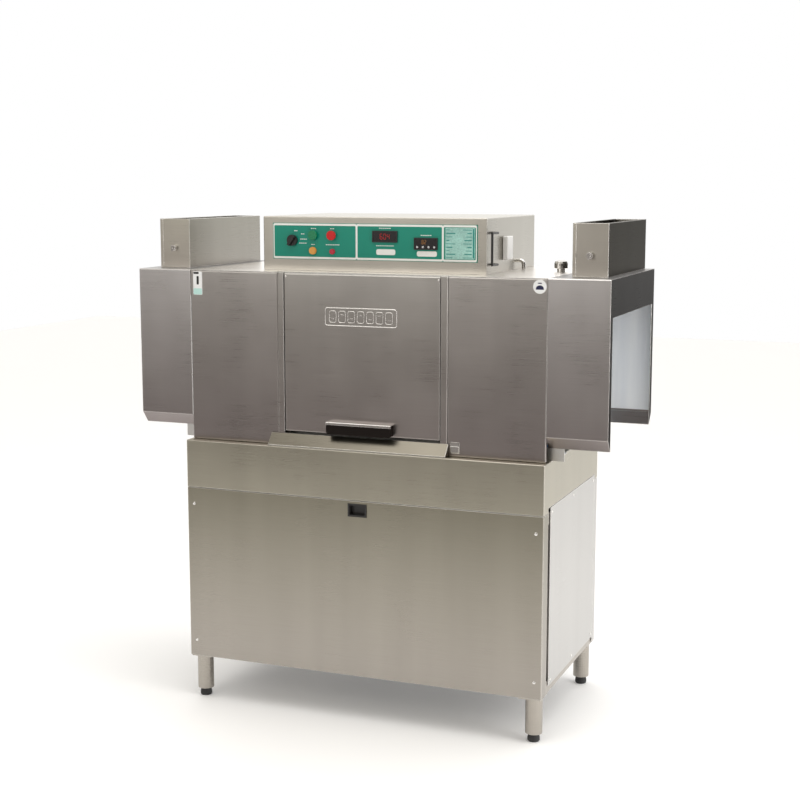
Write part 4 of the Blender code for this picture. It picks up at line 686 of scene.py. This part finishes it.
# %% Press the badge
BADGE_Z = 1.3305
BADGE_HALF = 0.124
BADGE_HALF_HEIGHT = 0.0285
BADGE_WIRE = 0.0016
badge_face = door_y - 0.0002
settings = {"Width": 2 * BADGE_HALF, "Height": 2 * BADGE_HALF_HEIGHT, "Corner": 0.008, "Wire": BADGE_WIRE}
centre = [(0.0, badge_face, BADGE_Z)]
repeated("badge_frame", outline_tree, centre, TO_FRONT, settings, bright_steel, "door")
FIGURES = 7
FIGURE_PITCH = 0.0325
middles = [(i - (FIGURES - 1) / 2) * FIGURE_PITCH for i in range(FIGURES)]
settings = {"Width": 0.0235, "Height": 0.037, "Corner": 0.006, "Wire": 0.0011}
spots = [(x, badge_face, BADGE_Z) for x in middles]
repeated("badge_figures", outline_tree, spots, TO_FRONT, settings, bright_steel, "door")
sizes = [(0.0105, 0.0032, 0.0018)] * FIGURES
spots = [(x, badge_face, BADGE_Z + (0.006 if i % 2 else -0.006)) for i, x in enumerate(middles)]
repeated("badge_bars", block_tree, spots, TO_FRONT, {}, bright_steel, "door", sizes)

# %% [markdown]
# ## Print on the fascia
# The overlay is a green film with a white border in three fields: controls, instruments and a pale chart. The
# border is real print with a thickness of a few tenths, so it also shows from the side. Small dashes stand
# where the words would be.

# %% Print the fascia
PRINT_HEIGHT = 0.0003
PRINT_SUNK = 0.0001
film_low, film_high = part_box("control_fascia")
BORDER = 0.0065
INSET = 0.0015
DIVIDERS = (-0.0510, 0.2460)
left_x = film_low.x + INSET
right_x = film_high.x - INSET
bottom_z = film_low.z + INSET
top_z = film_high.z - INSET
fields = [(left_x, DIVIDERS[0]), (DIVIDERS[0], DIVIDERS[1]), (DIVIDERS[1], right_x)]


def draw_border(bm):
    for start, end in fields:
        outer = rounded((start, end), (bottom_z, top_z), 0.0045)
        inner = rounded((start + BORDER / 2, end - BORDER / 2), (bottom_z + BORDER, top_z - BORDER), 0.0030)
        plate(bm, outer, -PRINT_SUNK, PRINT_HEIGHT, inner)


fascia_front = Vector((0, fascia_y, 0))
flat_piece("fascia_border", draw_border, FRONT_FACING, fascia_front, white_print)


def draw_plates(bm):
    plate(bm, rounded((0.0180, 0.0840), (1.5262, 1.5446), 0.006), -PRINT_SUNK, PRINT_HEIGHT)
    plate(bm, rounded((0.1580, 0.2260), (1.5235, 1.5405), 0.006), -PRINT_SUNK, PRINT_HEIGHT)


flat_piece("fascia_plates", draw_plates, FRONT_FACING, fascia_front, white_print)

DASH = 0.0026
dashes = []
for x, z, width in (
    (-0.268, 1.6000, 0.014), (-0.243, 1.5900, 0.013), (-0.240, 1.5730, 0.026), (-0.243, 1.5600, 0.028),
    (-0.204, 1.6080, 0.020), (-0.1375, 1.6080, 0.016), (-0.206, 1.5560, 0.014), (-0.136, 1.5560, 0.050),
    (0.0480, 1.6115, 0.042), (0.0480, 1.5555, 0.062), (0.1890, 1.5905, 0.038),
):
    letters = max(2, round(width / 0.0065))
    step = width / letters
    for i in range(letters):
        dashes.append((x - width / 2 + step * (i + 0.5), z, step * 0.72))
spots = [(x, fascia_y, z) for x, z, width in dashes]
sizes = [(width, DASH, 2 * PRINT_HEIGHT) for x, z, width in dashes]
repeated("fascia_dashes", block_tree, spots, TO_FRONT, {}, white_print, "machine", sizes)

# %% The pale chart with its lines
chart_x = (DIVIDERS[1] + 0.0085, right_x - 0.0070)
chart_z = (bottom_z + 0.0085, top_z - 0.0085)


def draw_chart(bm):
    plate(bm, rounded(chart_x, chart_z, 0.002), -PRINT_SUNK, PRINT_HEIGHT)


flat_piece("fascia_chart", draw_chart, FRONT_FACING, fascia_front, chart_pale)
lines = []
ROWS = 9
for row in range(ROWS):
    z = chart_z[1] - (row + 0.6) * (chart_z[1] - chart_z[0]) / ROWS
    for start, end in ((0.03, 0.14 + 0.10 * (row * 5 % 3)), (0.60 + 0.05 * (row * 7 % 4), 0.90)):
        u = [chart_x[0] + share * (chart_x[1] - chart_x[0]) for share in (start, end)]
        lines.append(((u[0] + u[1]) / 2, z, u[1] - u[0], 0.0018 + 0.0012 * (row % 2)))
lines.append((chart_x[1] - 0.004, (chart_z[0] + chart_z[1]) / 2, 0.0045, (chart_z[1] - chart_z[0]) * 0.94))
spots = [(x, fascia_y - PRINT_HEIGHT, z) for x, z, width, tall in lines]
sizes = [(width, tall, 0.0004) for x, z, width, tall in lines]
repeated("chart_lines", block_tree, spots, TO_FRONT, {}, chart_teal, "machine", sizes)

# %% [markdown]
# ## Instruments
# Seven-segment figures are seven small blocks, of which each digit lights some. They glow dimly behind the
# black windows. The lower instrument has four round keys, which are the turned head again.

# %% Light the digits
SEGMENTS = {
    "a": (0.0, 1.0, 1), "b": (0.5, 0.5, 0), "c": (0.5, -0.5, 0), "d": (0.0, -1.0, 1),
    "e": (-0.5, -0.5, 0), "f": (-0.5, 0.5, 0), "g": (0.0, 0.0, 1),
}
DIGITS = {"0": "abcdef", "2": "abged", "4": "fgbc", "5": "afgcd", "6": "afgecd", "8": "abcdefg"}


def lit(text, x, z, height, y):
    """Places and sizes of the lit segments of a number centred on x and z."""
    half = height / 2
    pitch = height * 0.72
    spots, sizes = [], []
    for index, digit in enumerate(text):
        middle = x + (index - (len(text) - 1) / 2) * pitch
        for segment in DIGITS[digit]:
            du, dv, level = SEGMENTS[segment]
            spots.append((middle + du * height * 0.44, y, z + dv * half))
            long_side, short_side = height * 0.36, height * 0.10
            size = (long_side, short_side) if level else (short_side, long_side)
            sizes.append((*size, 0.0006))
    return spots, sizes


display_low, display_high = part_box("temperature_display")
window_z = (display_low.z + display_high.z) / 2
spots, sizes = lit("604", (display_low.x + display_high.x) / 2, window_z, 0.0170, display_low.y)
repeated("display_digits", block_tree, spots, TO_FRONT, {}, digit_red, "machine", sizes)
unit_low, unit_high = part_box("rinse_controller")
unit_x = (unit_low.x + unit_high.x) / 2
spots, sizes = lit("82", unit_x - 0.006, unit_high.z - 0.0135, 0.0120, unit_low.y)
repeated("controller_digits", block_tree, spots, TO_FRONT, {}, digit_amber, "machine", sizes)
KEY = {"Radius": 0.0036, "Height": 0.0012, "Doming": 1.0}
spots = [(unit_x + (i - 1.5) * 0.0192, unit_low.y, unit_low.z + 0.0085) for i in range(4)]
repeated("controller_keys", head_tree, spots, TO_FRONT, KEY, key_grey, "machine")


def draw_rims(bm):
    for start, end, rim in ((display_low, display_high, 0.0035), (unit_low, unit_high, 0.0030)):
        outer = rounded((start.x, end.x), (start.z, end.z), 0.002)
        inner = rounded((start.x + rim, end.x - rim), (start.z + rim, end.z - rim), 0.001)
        plate(bm, outer, -PRINT_SUNK, 0.0012, inner)


rim_front = Vector((0, display_low.y, 0))
flat_piece("instrument_rims", draw_rims, FRONT_FACING, rim_front, black)

# %% [markdown]
# ## Labels
# Two stickers sit in the top corners of the hood. They are paper-thin plates with a plain mark on each.

# %% Stick on the labels
hood_front = Vector((0, hood_y, 0))
LABEL_X = (-0.6060, -0.5725)
LABEL_Z = (1.3870, 1.4640)


def draw_label(bm):
    plate(bm, rounded(LABEL_X, LABEL_Z, 0.004), -PRINT_SUNK, PRINT_HEIGHT)


def draw_label_marks(bm):
    plate(bm, rounded((-0.5930, -0.5850), (1.4210, 1.4490), 0.002), 0.0, 2 * PRINT_HEIGHT)
    plate(bm, rounded((-0.6045, -0.5850), (1.4560, 1.4625), 0.002), 0.0, 2 * PRINT_HEIGHT)


def draw_label_foot(bm):
    plate(bm, rounded((LABEL_X[0] + 0.001, LABEL_X[1] - 0.001), (1.3880, 1.4080), 0.003), 0.0, 2 * PRINT_HEIGHT)


flat_piece("hood_label", draw_label, FRONT_FACING, hood_front, label_white)
flat_piece("hood_label_marks", draw_label_marks, FRONT_FACING, hood_front, black)
flat_piece("hood_label_foot", draw_label_foot, FRONT_FACING, hood_front, label_mint)
ROUND_X = 0.5915
ROUND_Z = 1.4440


def draw_round_label(bm):
    plate(bm, disc(ROUND_X, ROUND_Z, 0.0215), -PRINT_SUNK, PRINT_HEIGHT)


def draw_round_mark(bm):
    turn = math.pi / 14
    half_width = 0.0125
    foot = ROUND_Z - 0.009
    angles = [turn * i for i in range(15)]
    arc = [(ROUND_X + half_width * math.cos(a), ROUND_Z - 0.006 + 0.010 * math.sin(a)) for a in angles]
    plate(bm, arc + [(ROUND_X - half_width, foot), (ROUND_X + half_width, foot)], 0.0, 2 * PRINT_HEIGHT)
    plate(bm, rounded((ROUND_X - 0.006, ROUND_X + 0.006), (ROUND_Z + 0.009, ROUND_Z + 0.012), 0.001), 0.0,
          2 * PRINT_HEIGHT)


flat_piece("round_label", draw_round_label, FRONT_FACING, hood_front, label_white)
flat_piece("round_label_mark", draw_round_mark, FRONT_FACING, hood_front, label_navy)
print("labels at x", LABEL_X[0], "and", ROUND_X)

# %% [markdown]
# ## Small sheet-metal work
# Each cowl is a sheet folded round and lapped over itself near its left corner, which leaves a fine upright
# line. A bright clip holds the drip sill at its right end, a short conduit leaves the control box for the
# roof, and a strip of blue plastic caps each end of the track rails.

# %% Laps, clip and conduit
LAP_WIDTH = 0.0110
LAP_THICKNESS = 0.0008


def draw_laps(bm):
    for name in ("vent_cowl_left", "vent_cowl_right"):
        start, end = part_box(name)
        outline = rounded((start.x, start.x + LAP_WIDTH), (start.z + 0.001, end.z - 0.001), 0.0006, 2)
        plate(bm, outline, -PRINT_SUNK, LAP_THICKNESS)


cowl_front = Vector((0, low("vent_cowl_left").y, 0))
flat_piece("cowl_laps", draw_laps, FRONT_FACING, cowl_front, cowl_entry_steel)


def draw_clip(bm):
    plate(bm, rounded((0.3050, 0.3370), (0.9110, 0.9470), 0.002), -PRINT_SUNK, 0.0022)
    plate(bm, rounded((0.3070, 0.3350), (0.9130, 0.9330), 0.002), 0.0, 0.0034)


flat_piece("sill_clip", draw_clip, FRONT_FACING, hood_front, bright_steel)
sill_x = high("drip_sill").x - 0.0165
slope_y = low("drip_sill").y + 0.011
spots = [(sill_x, slope_y, low("drip_sill").z + 0.0125)]
way = [(0.0, -0.79, 0.61)]
repeated("sill_screw", head_tree, spots, way, SMALL, bright_steel)


def tube(name, path, radius, stuff, body="machine", sides=4):
    """A round tube along smooth points, with closed ends."""
    curve = bpy.data.curves.new(name, "CURVE")
    curve.dimensions = "3D"
    curve.bevel_depth = radius
    curve.bevel_resolution = sides
    curve.use_fill_caps = True
    spline = curve.splines.new("POLY")
    spline.points.add(len(path) - 1)
    for point, place in zip(spline.points, path):
        point.co = (*place, 1)
    drawn = bpy.data.objects.new(name + " path", curve)
    bpy.context.scene.collection.objects.link(drawn)
    bpy.context.view_layer.update()
    mesh = bpy.data.meshes.new_from_object(drawn.evaluated_get(bpy.context.evaluated_depsgraph_get()))
    bpy.data.objects.remove(drawn, do_unlink=True)
    bm = bmesh.new()
    bm.from_mesh(mesh)
    bmesh.ops.remove_doubles(bm, verts=bm.verts, dist=1e-6)
    bmesh.ops.recalc_face_normals(bm, faces=bm.faces)
    bm.to_mesh(mesh)
    bm.free()
    mesh.shade_smooth()
    mesh.set_sharp_from_angle(angle=math.radians(50))
    print(name, "has", len(mesh.polygons), "faces")
    return finished(name, mesh, stuff, body)


conduit_x = high("control_box").x
BEND = [(math.sin(math.radians(a)), 1 - math.cos(math.radians(a))) for a in range(0, 91, 15)]
elbow = [(conduit_x - 0.001, 0.118, roof_z + 0.030)]
elbow += [(conduit_x + 0.008 + 0.014 * u, 0.118, roof_z + 0.030 - 0.014 * v) for u, v in BEND]
elbow.append((conduit_x + 0.022, 0.118, roof_z + 0.0005))
tube("roof_conduit", elbow, 0.0068, bright_steel)

# %% [markdown]
# ## Liners in the tunnel ends
# The back wall of each tunnel end is lined with a thin satin sheet. Its near-white colour is a painted reflection
# of the white studio, which makes it paler than the steel round it.

# %% Line the tunnel ends
made, tree, shader = new_material("liner with painted reflection")
liner_painted_reflection = made
place = add(tree, "ShaderNodeTexCoord").outputs["Object"]
runs = add(tree, "ShaderNodeMapping", {"Vector": place, "Scale": (22.0, 1.0, 1.5)}).outputs[0]
streaky = noise(tree, runs, 1.0, 4.0)
streaky = ramp_range(tree, streaky, 0.3, 0.7)
# Painted reflection: a near-white, faintly blue colour stands in for the studio white reflected here.
painted_reflection_tint = blend_colours(tree, streaky, (0.80, 0.82, 0.88), (0.95, 0.96, 0.98))
tree.links.new(painted_reflection_tint, shader.inputs["Base Color"])
tree.links.new(ramp_range(tree, streaky, 0.0, 1.0, 0.36, 0.50), shader.inputs["Roughness"])
shader.inputs["Metallic"].default_value = 0.10
LINER_THICKNESS = 0.0006


def draw_liners(bm):
    for name in ("entry_shroud", "exit_shroud"):
        start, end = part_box(name)
        span = (start.x + 0.003, end.x - 0.003)
        plate(bm, rounded(span, (start.z + 0.046, 1.350), 0.001, 2), 0.0, LINER_THICKNESS)


liner_back = Vector((0, high("exit_shroud").y - 0.0021, 0))
flat_piece("tunnel_liners", draw_liners, FRONT_FACING, liner_back, liner_painted_reflection)

# %% Wear strips on the track ends
track_low, track_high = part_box("rack_track")
WEAR_LENGTH = 0.060


def draw_wear(bm):
    for end in (-1, 1):
        tip = track_high.x if end > 0 else track_low.x
        inner = tip - end * WEAR_LENGTH
        for side in (-1, 1):
            edge = side * (track_high.y - 0.0015)
            outline = rounded(sorted((inner, tip)), sorted((edge - 0.004, edge + 0.004)), 0.0018, 3)
            plate(bm, outline, track_high.z, track_high.z + 0.005)


flat_piece("track_wear_strips", draw_wear, Matrix.Identity(4), Vector((0, 0, 0)), track_blue)

# %% [markdown]
# ## Spray nozzles
# Water leaves the wash arms through short cones that face the racks: upwards from the lower arms and downwards
# from the upper ones. The rinse arms carry a few more. The cones are the turned head without its dome.

# %% Set the nozzles along the arms
manifold_low, manifold_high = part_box("wash_manifold")
ARM_X = (-0.24, 0.0, 0.24)
ARM_RADIUS = 0.0106
LOWER_ARM = 0.862
UPPER_ARM = 1.399
rows = [manifold_low.y + 0.035 + 0.055 * i for i in range(8)]
NOZZLE = {"Radius": 0.0075, "Height": 0.0085, "Doming": 0.0}
spots = [(x, y, LOWER_ARM + ARM_RADIUS - 0.001) for x in ARM_X for y in rows]
ways = [(0.0, 0.0, 1.0)] * len(spots)
upper = [(x, y, UPPER_ARM - ARM_RADIUS + 0.001) for x in ARM_X for y in rows]
ways += [(0.0, 0.0, -1.0)] * len(upper)
repeated("wash_nozzles", head_tree, spots + upper, ways, NOZZLE, bright_steel)
rinse_low, rinse_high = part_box("rinse_manifold")
rinse_x = (rinse_low.x + rinse_high.x) / 2
JET = {"Radius": 0.0048, "Height": 0.0060, "Doming": 0.0}
spots = [(rinse_x, y, rinse_low.z + 0.0135) for y in rows]
ways = [(0.0, 0.0, 1.0)] * len(spots)
upper = [(rinse_x, y, rinse_high.z - 0.0135) for y in rows]
ways += [(0.0, 0.0, -1.0)] * len(upper)
repeated("rinse_nozzles", head_tree, spots + upper, ways, JET, bright_steel)

# %% [markdown]
# ## Strip curtains
# A curtain of soft vinyl strips hangs in each end of the tunnel and parts when a rack pushes through. Each strip
# is a thin sheet that curls a little and leans over its neighbour. The whole curtain is one mesh: a grid of
# points per strip with its curl worked out in code, then a thickness from Solidify.

# %% Hang the curtains
STRIPS = 6
OVERLAP = 0.006
VINYL = 0.0016
made, tree, shader = new_material("curtain vinyl")
vinyl = made
place = add(tree, "ShaderNodeTexCoord").outputs["Object"]
ribs = add(tree, "ShaderNodeSeparateXYZ", {0: place}).outputs["Y"]
wave = calc(tree, "SINE", calc(tree, "MULTIPLY", ribs, 900.0))
cloudy = noise(tree, place, 9.0, 4.0)
vinyl_tint = blend_colours(tree, cloudy, (0.50, 0.62, 0.68), (0.66, 0.76, 0.80))
tree.links.new(vinyl_tint, shader.inputs["Base Color"])
bump = add(tree, "ShaderNodeBump", {"Height": wave, "Strength": 0.35, "Distance": 0.0003})
tree.links.new(bump.outputs[0], shader.inputs["Normal"])
tree.links.new(ramp_range(tree, cloudy, 0.2, 0.8, 0.30, 0.46), shader.inputs["Roughness"])
shader.inputs["Transmission Weight"].default_value = 0.25
shader.inputs["IOR"].default_value = 1.45


def hang_curtain(node, name, body, way):
    start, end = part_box(node)
    middle = (start.x + end.x) / 2
    width = end.y - start.y
    drop = end.z - start.z
    pitch = width / STRIPS
    bm = bmesh.new()
    across_steps, down_steps = 6, 16
    for strip in range(STRIPS):
        left = start.y + strip * pitch + (0 if strip == 0 else -OVERLAP / 2)
        right = start.y + (strip + 1) * pitch + (0 if strip == STRIPS - 1 else OVERLAP / 2)
        layer = 0.0011 * (1 if strip % 2 else -1)
        grid = []
        for row in range(down_steps + 1):
            down = row / down_steps
            line = []
            for column in range(across_steps + 1):
                share = column / across_steps
                curl = 0.0030 * math.sin(math.pi * share) * down * (1 if strip % 2 else -1)
                sway = 0.0025 * math.sin(2.2 * strip + 3.0 * down) * down
                out = middle + way * (curl + sway) + layer
                spot = (out, left + share * (right - left), end.z - drop * down)
                line.append(bm.verts.new(spot))
            grid.append(line)
        for row in range(down_steps):
            for column in range(across_steps):
                above, below = grid[row], grid[row + 1]
                corners = (above[column], above[column + 1], below[column + 1], below[column])
                bm.faces.new(corners)
    mesh = bpy.data.meshes.new(name)
    bm.to_mesh(mesh)
    bm.free()
    mesh.shade_smooth()
    curtain = bpy.data.objects.new(name, mesh)
    bpy.context.scene.collection.objects.link(curtain)
    wall = curtain.modifiers.new("Sheet", "SOLIDIFY")
    wall.thickness = VINYL
    wall.offset = 0
    bpy.context.view_layer.update()
    solid = bpy.data.meshes.new_from_object(curtain.evaluated_get(bpy.context.evaluated_depsgraph_get()))
    bpy.data.objects.remove(curtain, do_unlink=True)
    solid.name = name
    made = finished(name, solid, vinyl, body)
    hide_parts(node)


hang_curtain("entry_curtain", "entry_strips", "entry_flap", -1)
hang_curtain("exit_curtain", "exit_strips", "exit_flap", 1)
